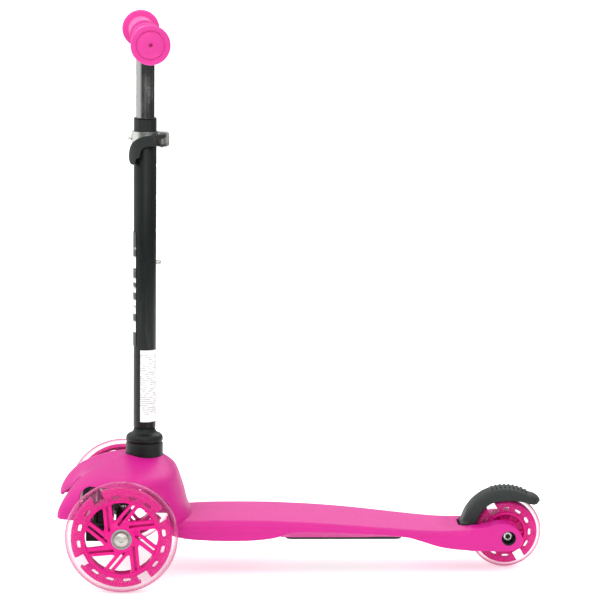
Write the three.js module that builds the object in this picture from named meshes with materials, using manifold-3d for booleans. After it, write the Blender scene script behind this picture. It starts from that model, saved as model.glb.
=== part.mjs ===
// Three-wheel lean-to-steer kick scooter for small children.
//
// Millimetres, +Z up. The front wheels are towards -X and the rear wheel towards +X, and the
// rider's left side is -Y. Inside the scooter group x = 0 is the front axle and z = 0 is the
// ground. The group is shifted at the end, so that the origin is the middle of the footprint.

import * as THREE from 'three';
import { mergeVertices } from 'three/addons/utils/BufferGeometryUtils.js';
import Module from 'manifold-3d';

const wasm = await Module();
wasm.setup();

// ---------------------------------------------------------------- driving dimensions

const GAP = 0.3; // left between two pieces that touch
const FIT = 0.4; // extra radius of a faceted hole around the pin or bolt in it

const FRONT_WHEEL_R = 60;
const REAR_WHEEL_R = 40;
const WHEEL_W = 24;
const TRACK = 219;
const WHEELBASE = 421;

const AXLE_R = 3.9; // M8 bolts
const BEARING = { bore: 4.15, outer: 11, width: 7 }; // 608 ball bearings

const COLUMN_X = 24.1;
const TUBE = { r: 12.3, wall: 1.4, bottom: 156.6, top: 493 };
const T_TUBE = { r: 10.1, wall: 1.3, bottom: 318 };
const BAR_Z = 581; // handlebar axis
const BAR_R = 11;
const BAR_HALF = 118;
const BAR_TWIST = THREE.MathUtils.degToRad(2.46); // the bar stands slightly turned in the column
const LOCK_Z = 338;
const LOCK_PITCH = 35;
const LOCK_HOLES = 4;
const LOCK_R = 2.4;

const CLAMP = { bottom: 466.5, top: 480, outer: 14.7, earReach: 25, earIn: 1.5, earOut: 4.2 };
const LEVER_PIN = { x: COLUMN_X + 18, y: -9.5, r: 1.9 };
const CLAMP_BOLT_Z = 469.5;

const LEAN_Z = 80; // height of the fore-aft axis that the deck leans about
const KINGPIN = { x: -20, y: 66 };
const STEER_ARM = 20; // from kingpin to tie pin, so the tie pins stand on the axle's line
const TIE = { bottom: 59.4, top: 65.4 };
const HOOD_WALL = 3;

const DECK_FRONT = 50;
const DECK_REAR = 392;
const FORK = { inner: 14, outer: 38.4, front: 380 };
const BRAKE_PIVOT = { x: 367, z: 38 };
const BRAKE_HALF = 16;
const BRAKE_PIN_R = 2.5;
const BRAKE_SLOT = { front: 368.6, rootFront: 360.5, rootTop: 45, half: 18.3 };
const PLATE = { front: 178, rear: 305, half: 27, bottom: 36.9, top: 39.7 };

const ROUND = 20; // facets of a round piece
const ROUND_COARSE = 12; // and of a pin or a hole

const FINISHES = {
  pink: { color: 0xe32f95, roughness: 0.5, metalness: 0 },
  grip: { color: 0xee4aa5, roughness: 0.75, metalness: 0 },
  wheelPink: { color: 0xe0188a, roughness: 0.35, metalness: 0 },
  clear: { color: 0xd9b7c9, roughness: 0.1, metalness: 0, transparent: true, opacity: 0.5 },
  black: { color: 0x2b2f2e, roughness: 0.55, metalness: 0 },
  blackPaint: { color: 0x2d3232, roughness: 0.4, metalness: 0.2 },
  chrome: { color: 0xc9ccca, roughness: 0.15, metalness: 1 },
  steel: { color: 0x9c9b9a, roughness: 0.35, metalness: 1 },
  white: { color: 0xf0f0ee, roughness: 0.5, metalness: 0 },
  charcoal: { color: 0x3a3f3f, roughness: 0.45, metalness: 0 },
};

// ---------------------------------------------------------------- making solids

// A closed geometry as a manifold solid, with its faces turned outwards.
function solidOf(geometry) {
  const bare = geometry.clone();
  for (const extra of ['normal', 'uv']) bare.deleteAttribute(extra);
  const merged = mergeVertices(bare, 1e-4);
  const place = merged.attributes.position;
  const corner = [new THREE.Vector3(), new THREE.Vector3(), new THREE.Vector3()];
  const faces = [];
  let volume = 0;
  for (let i = 0; i < merged.index.count; i += 3) {
    const face = [0, 1, 2].map((k) => merged.index.getX(i + k));
    if (new Set(face).size < 3) continue;
    face.forEach((vertex, k) => corner[k].fromBufferAttribute(place, vertex));
    volume += corner[0].dot(corner[1].clone().cross(corner[2]));
    faces.push(face);
  }
  const outward = volume > 0 ? faces : faces.map(([a, b, c]) => [a, c, b]);
  return new wasm.Manifold(new wasm.Mesh({
    numProp: 3,
    vertProperties: Float32Array.from(place.array),
    triVerts: Uint32Array.from(outward.flat()),
  }));
}

function geometryOf(solid) {
  const mesh = solid.getMesh();
  const geometry = new THREE.BufferGeometry();
  geometry.setAttribute('position', new THREE.BufferAttribute(mesh.vertProperties, 3));
  geometry.setIndex(new THREE.BufferAttribute(mesh.triVerts, 1));
  geometry.computeVertexNormals();
  return geometry;
}

const join = (...solids) => solids.reduce((sum, solid) => sum.add(solid));
const cut = (solid, ...tools) => tools.reduce((rest, tool) => rest.subtract(tool), solid);
const both = (signed) => [-1, 1].map(signed); // one result for each side
const span = (side, near, far) => (side < 0 ? [-far, -near] : [near, far]);

// Turns geometry made along +Y so that it runs along the named axis.
function along(axis, geometry) {
  if (axis === 'x') geometry.rotateZ(-Math.PI / 2);
  if (axis === 'z') geometry.rotateX(Math.PI / 2);
  return geometry;
}

// A turned piece. The profile lists [radius, distance along the axis].
function turned(axis, profile, facets = ROUND, at = [0, 0, 0]) {
  const points = profile.map(([r, h]) => new THREE.Vector2(r, h));
  const open = profile[0][0] > 0;
  if (open) points.push(points[0].clone());
  const geometry = along(axis, new THREE.LatheGeometry(points, facets));
  return solidOf(geometry.translate(...at));
}

function rod(axis, r, from, to, at = [0, 0, 0], facets = ROUND) {
  return turned(axis, [[0, from], [r, from], [r, to], [0, to]], facets, at);
}

function ring(axis, inner, outer, from, to, at = [0, 0, 0], facets = ROUND) {
  return turned(axis, [[inner, from], [outer, from], [outer, to], [inner, to]], facets, at);
}

function block([x0, x1], [y0, y1], [z0, z1]) {
  const geometry = new THREE.BoxGeometry(x1 - x0, y1 - y0, z1 - z0);
  return solidOf(geometry.translate((x0 + x1) / 2, (y0 + y1) / 2, (z0 + z1) / 2));
}

// An outline pushed through from one place to another along an axis. Its two coordinates are
// (y, z) along x, (x, z) along y and (x, y) along z.
function pushed(axis, shape, from, to, curveSegments = 5) {
  const depth = to - from;
  const options = { depth, bevelEnabled: false, curveSegments };
  const geometry = new THREE.ExtrudeGeometry(shape, options);
  const turn = new THREE.Matrix4();
  const [x, y, z] = [[1, 0, 0], [0, 1, 0], [0, 0, 1]].map((v) => new THREE.Vector3(...v));
  if (axis === 'x') turn.makeBasis(y, z, x).setPosition(from, 0, 0);
  if (axis === 'y') turn.makeBasis(x, z, y.clone().negate()).setPosition(0, to, 0);
  if (axis === 'z') turn.setPosition(0, 0, from);
  return solidOf(geometry.applyMatrix4(turn));
}

function outline(points) {
  return new THREE.Shape(points.map(([u, v]) => new THREE.Vector2(u, v)));
}

function ellipse(u, v, ru, rv) {
  return new THREE.Shape().absellipse(u, v, ru, rv, 0, 2 * Math.PI);
}

// A rounded bar seen from above, from one round end to the other.
function link([x0, y0], [x1, y1], r) {
  const lean = Math.atan2(y1 - y0, x1 - x0);
  return new THREE.Shape()
    .absarc(x1, y1, r, lean - Math.PI / 2, lean + Math.PI / 2)
    .absarc(x0, y0, r, lean + Math.PI / 2, lean + 1.5 * Math.PI);
}

// A skin over closed rings that all have the same number of points, capped at both ends.
function loft(rings) {
  const count = rings[0].length;
  const middle = (points) => points.reduce((sum, p) => sum.add(p), new THREE.Vector3())
    .divideScalar(count);
  const vertices = [...rings.flat(), middle(rings[0]), middle(rings.at(-1))];
  const firstMiddle = rings.length * count;
  const faces = [];
  for (let k = 0; k < count; k += 1) {
    const next = (k + 1) % count;
    for (let level = 0; level < rings.length - 1; level += 1) {
      const a = level * count;
      const b = a + count;
      faces.push(a + k, a + next, b + next, a + k, b + next, b + k);
    }
    const last = (rings.length - 1) * count;
    faces.push(next, k, firstMiddle, last + k, last + next, firstMiddle + 1);
  }
  const geometry = new THREE.BufferGeometry().setFromPoints(vertices);
  geometry.setIndex(faces);
  return solidOf(geometry);
}

// A torsion spring: a coil along an axis between two straight legs.
function torsionSpring({ coilR, wireR, turns, pitch, legs, axis, at }) {
  const steps = turns * 8;
  const path = [];
  for (let i = 0; i <= steps; i += 1) {
    const angle = (2 * Math.PI * turns * i) / steps;
    const run = (i / steps - 0.5) * turns * pitch;
    path.push(new THREE.Vector3(coilR * Math.cos(angle), run, coilR * Math.sin(angle)));
  }
  const start = path[0].clone().add(new THREE.Vector3(...legs[0]));
  const end = path.at(-1).clone().add(new THREE.Vector3(...legs[1]));
  const curve = new THREE.CatmullRomCurve3([start, ...path, end]);
  const section = new THREE.Shape().absarc(0, 0, wireR, 0, 2 * Math.PI);
  const options = { steps: steps + 4, extrudePath: curve, curveSegments: 3 };
  const geometry = along(axis, new THREE.ExtrudeGeometry(section, options));
  return solidOf(geometry.translate(...at));
}

// ---------------------------------------------------------------- the scene graph

const scooter = new THREE.Group();

function add(parent, name, solid, finish) {
  const mesh = new THREE.Mesh(geometryOf(solid), new THREE.MeshStandardMaterial(FINISHES[finish]));
  mesh.name = name;
  parent.add(mesh);
  return mesh;
}

function groupAt(x, y, z) {
  const group = new THREE.Group();
  group.position.set(x, y, z);
  scooter.add(group);
  return group;
}

const SIDES = [{ name: 'left', sign: -1 }, { name: 'right', sign: 1 }];

// ---------------------------------------------------------------- deck, head and fork

// Plan outlines of the head from the ground up: where its rear wall, its widest sides, its two
// noses and the notch between the noses are at each height.
const HEAD_LEVELS = [
  { z: 42, rear: 68, side: 58, noseX: -60, noseY: 50, notchX: -50 },
  { z: 64, rear: 76, side: 77, noseX: -69, noseY: 61, notchX: -55 },
  { z: 74, rear: 71.5, side: 79, noseX: -69.5, noseY: 60, notchX: -52 },
  { z: 88, rear: 68, side: 80, noseX: -62.6, noseY: 57, notchX: -48 },
  { z: 100, rear: 64, side: 80, noseX: -53.5, noseY: 50, notchX: -44 },
  { z: 107, rear: 61.5, side: 79, noseX: -46, noseY: 43, notchX: -40 },
  { z: 112, rear: 59, side: 74, noseX: -38.5, noseY: 38, notchX: -34 },
  { z: 117, rear: 55, side: 59, noseX: -29, noseY: 31, notchX: -24 },
  { z: 121, rear: 51, side: 43, noseX: -20.5, noseY: 25, notchX: -14 },
  { z: 125, rear: 46.5, side: 26, noseX: -12, noseY: 18, notchX: -6 },
  { z: 128, rear: 43, side: 16, noseX: -1, noseY: 12, notchX: 1 },
];

function headRing({ z, rear, side, noseX, noseY, notchX }, between) {
  const half = [
    [rear, 0], [rear * 0.94, side * 0.44], [rear * 0.7, side * 0.8], [rear * 0.08, side],
    [noseX * 0.62, side * 0.65 + noseY * 0.37], [noseX, noseY],
    [noseX * 0.3 + notchX * 0.7, noseY * 0.5], [notchX, 0],
  ];
  const mirrored = half.slice(1, -1).reverse().map(([x, y]) => [x, -y]);
  const nodes = [...half, ...mirrored].map(([x, y]) => new THREE.Vector3(x, y, z));
  const curve = new THREE.CatmullRomCurve3(nodes, true, 'centripetal');
  return curve.getPoints(nodes.length * between).slice(0, -1);
}

const headOuter = loft(HEAD_LEVELS.map((level) => headRing(level, 2)));
const headInner = loft(HEAD_LEVELS.map((level, i) => headRing({
  z: i === 0 ? level.z - 12 : level.z - HOOD_WALL,
  rear: level.rear - HOOD_WALL,
  side: level.side - HOOD_WALL,
  noseX: level.noseX + HOOD_WALL * 1.3,
  noseY: level.noseY - HOOD_WALL * 0.3,
  notchX: level.notchX + HOOD_WALL,
}, 1)));

// The side arch is a half ellipse behind the axle and a round-cornered box in front of it.
const WHEEL_ARCH = { front: -45, middle: 10, rear: 57, top: 104.5, z: 60, corner: 16 };
// Half of the opening between the noses: how far out it reaches at each height.
const FRONT_ARCH = {
  back: -40,
  edge: [[0, 99], [14, 98], [22, 95.5], [31, 87], [41, 79], [49, 73], [53, 67], [54, 30]],
};
const PRONG_BOTTOM = 68;
const SOCKET = { bore: 17.8, mouth: 20.6, wall: 23, bottom: 96.5, step: 119.7 };
const PAD = { front: -43, back: 9, half: 20, bottom: 96.3 };
const CARRIER_SCREW = { x: -20, y: 15, r: 2.4, top: 108, from: 90 };

function wheelArch() {
  const { front, middle, rear, top, z, corner } = WHEEL_ARCH;
  const behind = ellipse(middle, z, rear - middle, top - z);
  return join(
    pushed('y', behind, -100, 100, 12),
    rod('y', corner, -100, 100, [front + corner, 0, top - corner]),
    block([front, middle], [-100, 100], [z - 1, top - corner]),
    block([front + corner, middle], [-100, 100], [z, top]),
  );
}

const BEYOND = 150; // farther than any face of the head, for cuts that run right through it
const RIB = { half: 1.5, from: 60, cross: 104, back: 74 }; // ribs that hold the socket

function head() {
  const mirrored = FRONT_ARCH.edge.slice(1).map(([y, z]) => [-y, z]).reverse();
  const shell = cut(
    headOuter,
    headInner,
    wheelArch(),
    pushed('x', outline([...FRONT_ARCH.edge, ...mirrored]), -BEYOND, FRONT_ARCH.back),
    block([-BEYOND, 0], [-BEYOND, BEYOND], [0, PRONG_BOTTOM]),
    block([-BEYOND, WHEEL_ARCH.rear], [-BEYOND, BEYOND], [0, WHEEL_ARCH.z]),
  );
  const axis = [COLUMN_X, 0, 0];
  const inside = join(
    rod('z', SOCKET.wall, SOCKET.bottom, BEYOND, axis),
    block([PAD.front, PAD.back], [-PAD.half, PAD.half], [PAD.bottom, BEYOND]),
    block([COLUMN_X, RIB.back], [-RIB.half, RIB.half], [RIB.from, BEYOND]),
    block([COLUMN_X - RIB.half, COLUMN_X + RIB.half], [-BEYOND, BEYOND], [RIB.cross, BEYOND]),
  ).intersect(headOuter);
  return cut(
    join(shell, inside),
    rod('z', SOCKET.bore, SOCKET.bottom - 1, BEYOND, axis),
    rod('z', SOCKET.mouth, SOCKET.step, BEYOND, axis),
    ...both((side) => rod('z', CARRIER_SCREW.r + FIT, CARRIER_SCREW.from, CARRIER_SCREW.top + 1,
      [CARRIER_SCREW.x, side * CARRIER_SCREW.y, 0], ROUND_COARSE)),
  );
}

// Stations along the deck: half width, top, lower edge of the side and bottom of the keel.
const DECK_STATIONS = [
  { x: DECK_FRONT, half: 46, top: 62, side: 46, keel: 46 },
  { x: 66, half: 49.5, top: 62.6, side: 42.5, keel: 42.5 },
  { x: 100, half: 50.5, top: 64, side: 40, keel: 40 },
  { x: 145, half: 51, top: 64, side: 40.6, keel: 40 },
  { x: 166, half: 51, top: 63.6, side: 43.6, keel: 40 },
  { x: 184, half: 51, top: 62.8, side: 49.4, keel: 40 },
  { x: 205, half: 51, top: 61.8, side: 50.4, keel: 40 },
  { x: 250, half: 50, top: 58.4, side: 48.6, keel: 40 },
  { x: 306, half: 45.7, top: 53.1, side: 43.6, keel: 40 },
  { x: 324, half: 44, top: 51.5, side: 38.4, keel: 36.8 },
  { x: 345, half: 41.6, top: 50.2, side: 31.2, keel: 30.8 },
  { x: 366, half: 39.4, top: 50, side: 27.4, keel: 27.2 },
  { x: DECK_REAR, half: FORK.outer, top: 51.3, side: 25.5, keel: 25.5 },
];
const DECK_EDGE_R = 7;

function deckRing({ x, half, top, side, keel }) {
  const slope = Math.cos(Math.PI / 4);
  const keelHalf = Math.min(PLATE.half + 4, half - 1);
  const right = [
    [half * 0.4, top], [half - DECK_EDGE_R, top - 1.2],
    [half - DECK_EDGE_R * (1 - slope), top - 1.2 - DECK_EDGE_R * (1 - slope)],
    [half, top - 1.2 - DECK_EDGE_R], [half, side], [half - 1, side - 0.2], [keelHalf, keel],
  ];
  const left = right.map(([y, z]) => [-y, z]).reverse();
  return [...right, ...left].map(([y, z]) => new THREE.Vector3(x, y, z));
}

const POCKETS = [
  { from: 74, to: 121, top: 56.5, half: 44 }, { from: 125, to: 172, top: 56.5, half: 44 },
  { from: 198, to: 240, top: 53, half: 24 }, { from: 244, to: 284, top: 49, half: 24 },
  { from: 309, to: 334, top: 44, half: 33 },
];
const POCKET_KEEL = 2; // half the rib that is left along the middle

const FORK_SIDE = [
  [FORK.front, 25.6], [414, 25.4], [424.8, 26.4], [430.4, 28.2], [434.8, 31.4], [436.8, 35.6],
  [436, 41], [433, 46.8], [428.2, 51.4], [421.6, 54.9], [414.4, 56.1], [407, 55.1],
  [399, 52.9], [390, 51.4], [FORK.front, 51],
];
const FORK_BOSS = { r: 8, reach: 12.3 };
const FORK_RECESS = { r: 8, floor: 24.6 };
const PLATE_SCREWS = { x: [188, 294], y: 20, r: 2.2, top: 48 };

function addDeck() {
  const slab = loft(DECK_STATIONS.map(deckRing));
  const pockets = POCKETS.flatMap(({ from, to, top, half }) => both((side) => block(
    [from, to], span(side, POCKET_KEEL, half), [0, top],
  )));
  const arms = both((side) => pushed('y', outline(FORK_SIDE), ...span(side, FORK.inner,
    FORK.outer)));
  const axle = [WHEELBASE, 0, REAR_WHEEL_R];
  const bosses = both((side) => rod('y', FORK_BOSS.r, ...span(side, FORK_BOSS.reach,
    FORK.inner + 1), axle));
  const opened = cut(
    join(head(), slab, ...arms),
    ...pockets,
    block([BRAKE_SLOT.front, DECK_REAR], [-BRAKE_SLOT.half, BRAKE_SLOT.half], [0, 100]),
    block([BRAKE_SLOT.rootFront, DECK_REAR], [-BRAKE_SLOT.half, BRAKE_SLOT.half],
      [0, BRAKE_SLOT.rootTop]),
    block([DECK_REAR - 1, 500], [-FORK.inner, FORK.inner], [0, 100]),
    rod('y', BRAKE_PIN_R + FIT, -BRAKE_PIN_HALF - 1, BRAKE_PIN_HALF + 1,
      [BRAKE_PIVOT.x, 0, BRAKE_PIVOT.z], ROUND_COARSE),
    ...PLATE_SCREWS.x.flatMap((x) => both((side) => rod('z', PLATE_SCREWS.r + FIT, 30,
      PLATE_SCREWS.top + 1, [x, side * PLATE_SCREWS.y, 0], ROUND_COARSE))),
  );
  add(scooter, 'deck', cut(
    join(opened, ...bosses),
    rod('y', AXLE_R + FIT, -FORK.outer, FORK.outer, axle),
    ...both((side) => rod('y', FORK_RECESS.r, ...span(side, FORK_RECESS.floor, FORK.outer), axle)),
  ), 'pink');
}

function addUnderplate() {
  const { front, rear, half, bottom, top } = PLATE;
  const holes = PLATE_SCREWS.x.flatMap((x) => both((side) => [x, side * PLATE_SCREWS.y, 0]));
  const plate = pushed('z', link([front + half, 0], [rear - half, 0], half), bottom, top);
  const corners = block([front + 4, rear - 4], [-half, half], [bottom, top]);
  add(scooter, 'underplate', cut(
    join(plate, corners),
    ...holes.map((at) => rod('z', PLATE_SCREWS.r + FIT, 0, 60, at, ROUND_COARSE)),
    ...holes.map((at) => rod('z', 5, 0, bottom + 1.6, at, ROUND_COARSE)),
  ), 'black');
  holes.forEach((at, i) => add(scooter, `underplate_screw_${i + 1}`, join(
    rod('z', 4.6, bottom, bottom + 1.3, at, ROUND_COARSE),
    rod('z', PLATE_SCREWS.r, bottom + 1, PLATE_SCREWS.top, at, ROUND_COARSE),
  ), 'steel'));
}

// ---------------------------------------------------------------- front axle

const CARRIER = { front: -43, rear: 9, lug: 6.8, half: 20, bottom: 91.8, top: 96, lugHalf: 11 };
const CARRIER_REAR_LUG = 12;
const LEAN_BOLT = { head: 5.6, headR: 7.2, nut: 6.4, nutR: 7.4 };
const STEER_PIN = { top: 74.2, bottom: 58 };
const HUB = { r: 10.5, front: -27, rear: -5.7 };
const BUSH = { outer: 6, flangeR: 9, flange: 1.2, depth: 9 };
const BEAM = { front: -27, rear: -12, bottom: 63, top: 77, eyeR: 9.5, eyeBottom: 60, eyeTop: 80 };
const KNUCKLE = {
  lowBottom: 51, lowTop: 59.5, armTop: 59, highBottom: 80.4, highTop: 87.6,
  eyeR: 9.5, webFront: -30, webRear: -9, webIn: 77, webOut: 92, bossIn: 84.5, bossOut: 93,
  bossR: 11, noseR: 6.6, noseOut: 97.1, lobeFront: -38, lobeTop: 73,
};
const TIE_PIN_R = 3;
const TIE_EYE_R = 6.5;
const TIE_MIDDLE_R = 9.5;
const STEER_PIN_PLAY = 1.3; // the pin tilts in the tie rod's middle hole as the deck leans

function hexagon(r) {
  return new THREE.Shape(Array.from({ length: 6 }, (_, i) => new THREE.Vector2(
    r * Math.cos(((i + 0.5) * Math.PI) / 3), r * Math.sin(((i + 0.5) * Math.PI) / 3),
  )));
}

function hexAlong(axis, r, from, to, hole, at) {
  const nut = pushed(axis, hexagon(r), from, to).translate(at);
  return cut(nut, rod(axis, hole, from - 1, to + 1, at, ROUND_COARSE));
}

function addLeanCarrier() {
  const { front, rear, lug, half, bottom, top, lugHalf } = CARRIER;
  const lugShape = new THREE.Shape().moveTo(lugHalf, bottom + 1).lineTo(-lugHalf, bottom + 1)
    .absarc(0, LEAN_Z, lugHalf, Math.PI, 2 * Math.PI);
  const at = [0, 0, LEAN_Z];
  add(scooter, 'lean_carrier', cut(
    join(
      block([front, rear], [-half, half], [bottom, top]),
      pushed('x', lugShape, front, front + lug),
      pushed('x', lugShape, rear - CARRIER_REAR_LUG, rear),
    ),
    rod('x', AXLE_R + FIT, front - 1, rear + 1, at),
    rod('z', AXLE_R + FIT, LEAN_Z - lugHalf - 1, STEER_PIN.top + GAP, [0, 0, 0], ROUND_COARSE),
    ...both((side) => rod('z', CARRIER_SCREW.r + FIT, 80, 100,
      [CARRIER_SCREW.x, side * CARRIER_SCREW.y, 0], ROUND_COARSE)),
  ), 'black');
  add(scooter, 'steer_pin', rod('z', AXLE_R, STEER_PIN.bottom, STEER_PIN.top, [0, 0, 0],
    ROUND_COARSE), 'steel');
  SIDES.forEach(({ name, sign }) => add(scooter, `carrier_screw_${name}`, join(
    rod('z', 4.4, bottom - GAP - 3, bottom - GAP,
      [CARRIER_SCREW.x, sign * CARRIER_SCREW.y, 0], ROUND_COARSE),
    rod('z', CARRIER_SCREW.r, bottom - 1, CARRIER_SCREW.top,
      [CARRIER_SCREW.x, sign * CARRIER_SCREW.y, 0], ROUND_COARSE),
  ), 'steel'));
  const { head: headDepth, headR, nut, nutR } = LEAN_BOLT;
  add(scooter, 'lean_bolt', join(
    pushed('x', hexagon(headR), front - GAP - headDepth, front - GAP).translate(at),
    rod('x', AXLE_R, front - 1, rear + nut + 1.5, at),
  ), 'steel');
  add(scooter, 'lean_nut', hexAlong('x', nutR, rear + GAP, rear + nut, AXLE_R + FIT, at), 'steel');
}

function addCentringSpring() {
  const hubFace = HUB.front - GAP - BUSH.flange;
  const lugFace = CARRIER.front + CARRIER.lug;
  add(scooter, 'centring_spring', torsionSpring({
    coilR: 6.5, wireR: 1, turns: 2, pitch: 2.2, axis: 'x',
    at: [(hubFace + lugFace) / 2, 0, LEAN_Z],
    legs: [[0, 0, 9.8], [0, 0, -8]],
  }), 'steel');
}

function addAxleBeam() {
  const { front, rear, bottom, top, eyeR, eyeBottom, eyeTop } = BEAM;
  const at = [0, 0, LEAN_Z];
  add(scooter, 'axle_beam', cut(
    join(
      rod('x', HUB.r, HUB.front, HUB.rear, at),
      block([front, rear], [-KINGPIN.y + 3, KINGPIN.y - 3], [bottom, top]),
      ...both((side) => rod('z', eyeR, eyeBottom, eyeTop, [KINGPIN.x, side * KINGPIN.y, 0])),
    ),
    rod('x', BUSH.outer + FIT, HUB.front - 1, HUB.rear + 1, at),
    ...both((side) => rod('z', AXLE_R + FIT, 50, 90, [KINGPIN.x, side * KINGPIN.y, 0])),
  ), 'black');
  const bush = (from, flangeFrom) => join(
    ring('x', AXLE_R + FIT, BUSH.outer, from, from + BUSH.depth, at),
    ring('x', AXLE_R + FIT, BUSH.flangeR, flangeFrom, flangeFrom + BUSH.flange, at),
  );
  const frontFlange = HUB.front - GAP - BUSH.flange;
  const rearFlange = HUB.rear + GAP;
  add(scooter, 'lean_bush_front', bush(frontFlange + 0.5, frontFlange), 'white');
  add(scooter, 'lean_bush_rear', bush(rearFlange + 0.7 - BUSH.depth, rearFlange), 'white');
  SIDES.forEach(({ name, sign }) => {
    const pin = [KINGPIN.x, sign * KINGPIN.y, 0];
    add(scooter, `kingpin_${name}`, join(
      rod('z', 6.2, KNUCKLE.lowBottom - GAP - 3.4, KNUCKLE.lowBottom - GAP, pin, ROUND_COARSE),
      rod('z', AXLE_R, KNUCKLE.lowBottom - 1, KNUCKLE.highTop + 2.5, pin),
    ), 'steel');
  });
}

function addKnuckle({ name, sign }) {
  const k = KNUCKLE;
  const eye = [KINGPIN.x, sign * KINGPIN.y];
  const tiePin = [KINGPIN.x + STEER_ARM, sign * KINGPIN.y];
  const outer = [KINGPIN.x, sign * (k.webIn + 4)];
  const axle = [0, 0, FRONT_WHEEL_R];
  add(scooter, `knuckle_${name}`, cut(
    join(
      pushed('z', link(eye, outer, k.eyeR), k.lowBottom, k.lowTop),
      pushed('z', link(eye, outer, k.eyeR), k.highBottom, k.highTop),
      pushed('z', link(eye, tiePin, TIE_EYE_R), k.lowBottom, k.armTop),
      block([k.webFront, k.webRear], span(sign, k.webIn, k.webOut), [k.lowBottom, k.highTop]),
      block([k.lobeFront, k.webFront + 1], span(sign, k.webIn, k.webOut), [k.lowBottom, k.lobeTop]),
      block([k.webRear - 1, 0], span(sign, k.bossIn, k.webOut), [k.lowBottom, k.lowBottom + 18]),
      rod('y', k.bossR, ...span(sign, k.bossIn, k.bossOut), axle),
      rod('y', k.noseR, ...span(sign, k.bossOut - 1, k.noseOut), axle, ROUND_COARSE),
    ),
    rod('z', AXLE_R + FIT, 0, 100, [...eye, 0]),
    rod('z', TIE_PIN_R + FIT, 0, 70, [...tiePin, 0], ROUND_COARSE),
    rod('y', AXLE_R + FIT, -120, 120, axle),
  ), 'black');
}

function addTieRod() {
  const middle = KINGPIN.x + STEER_ARM;
  const { bottom, top } = TIE;
  add(scooter, 'tie_rod', cut(
    join(
      pushed('z', link([middle, -KINGPIN.y], [middle, KINGPIN.y], TIE_EYE_R), bottom, top),
      rod('z', TIE_MIDDLE_R, bottom, top, [middle, 0, 0]),
    ),
    rod('z', AXLE_R + STEER_PIN_PLAY, 0, 80, [middle, 0, 0]),
    ...both((side) => rod('z', TIE_PIN_R + FIT, 0, 80, [middle, side * KINGPIN.y, 0],
      ROUND_COARSE)),
  ), 'black');
  SIDES.forEach(({ name, sign }) => {
    const at = [middle, sign * KINGPIN.y, 0];
    add(scooter, `tie_pin_${name}`, join(
      rod('z', 5, KNUCKLE.lowBottom - GAP - 2, KNUCKLE.lowBottom - GAP, at, ROUND_COARSE),
      rod('z', TIE_PIN_R, KNUCKLE.lowBottom - 1, top + 2, at, ROUND_COARSE),
    ), 'steel');
  });
}

// ---------------------------------------------------------------- wheels

const HUB_R = 15;
const WEB_HALF = 6;
const RIM_HALF = 10;
const TYRE_SHARE = 0.9; // core radius over wheel radius
const RIM_SHARE = 0.68;

// A light-up wheel core: a hub, eight swirled spokes and a rim with windows and slots.
// One opening between the spokes: its distance from rim and hub, its corners in degrees.
const OPENING = { rim: 2.5, hub: 4.5, lead: -12, trail: 8, tip: 26 };
const HUB_BORE = 8.5;
const WINDOW_HALF = 6; // of the slots through the rim, along it

function wheelCore(r, spoked) {
  const coreR = r * TYRE_SHARE;
  const rimR = r * RIM_SHARE;
  const web = new THREE.Shape().absarc(0, 0, rimR + 1, 0, 2 * Math.PI);
  const spokes = spoked ? 8 : 0;
  for (let i = 0; i < spokes; i += 1) {
    const turn = (i * Math.PI) / 4;
    const at = (radius, degrees) => {
      const angle = turn + THREE.MathUtils.degToRad(degrees);
      return new THREE.Vector2(radius * Math.cos(angle), radius * Math.sin(angle));
    };
    const { rim: outside, hub: inside, lead, trail, tip } = OPENING;
    const opening = [at(rimR - outside, lead), at(rimR - outside, trail),
      at(HUB_R + inside, tip), at(HUB_R + inside, trail)];
    web.holes.push(new THREE.Path(opening));
  }
  const rim = new THREE.Shape().absarc(0, 0, coreR, 0, 2 * Math.PI);
  rim.holes.push(new THREE.Path().absarc(0, 0, rimR, 0, 2 * Math.PI));
  const windowIn = rimR + 2;
  const windowOut = coreR - 1.2;
  for (let i = 0; i < 4; i += 1) {
    const middle = THREE.MathUtils.degToRad(30 + 90 * i);
    const half = WINDOW_HALF / windowOut;
    rim.holes.push(new THREE.Path([[windowIn, -half], [windowOut, -half], [windowOut, half],
      [windowIn, half]].map(([radius, angle]) => new THREE.Vector2(
      radius * Math.cos(middle + angle), radius * Math.sin(middle + angle)))));
  }
  const hubHalf = WHEEL_W / 2;
  return cut(
    join(
      pushed('y', web, -WEB_HALF, WEB_HALF, 10),
      pushed('y', rim, -RIM_HALF, RIM_HALF, 14),
      rod('y', HUB_R, -hubHalf, hubHalf),
    ),
    rod('y', BEARING.outer + GAP, hubHalf - BEARING.width - GAP, hubHalf + 1),
    rod('y', BEARING.outer + GAP, -hubHalf - 1, BEARING.width + GAP - hubHalf),
    rod('y', HUB_BORE, -hubHalf, hubHalf, [0, 0, 0], ROUND_COARSE),
  );
}

function tyre(r) {
  const inner = r * TYRE_SHARE + GAP;
  const half = WHEEL_W / 2;
  return turned('y', [
    [inner, -RIM_HALF], [r - 3.4, -half + 0.8], [r, -2], [r, 2], [r - 3.4, half - 0.8],
    [inner, RIM_HALF],
  ], 36);
}

function addWheel(name, r, y, x, spoked) {
  const wheel = groupAt(x, y, r);
  add(wheel, `tyre_${name}`, tyre(r), 'clear');
  add(wheel, `wheel_core_${name}`, wheelCore(r, spoked), 'wheelPink');
  const half = WHEEL_W / 2;
  const { bore, outer, width } = BEARING;
  const names = name === 'rear' ? ['left', 'right'] : ['outer', 'inner'];
  const outward = y > 0 ? 1 : -1;
  names.forEach((place, i) => add(wheel, `bearing_${name}_${place}`, ring('y', bore, outer,
    ...span(i === 0 ? outward : -outward, half - width, half)), 'steel'));
}

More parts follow.
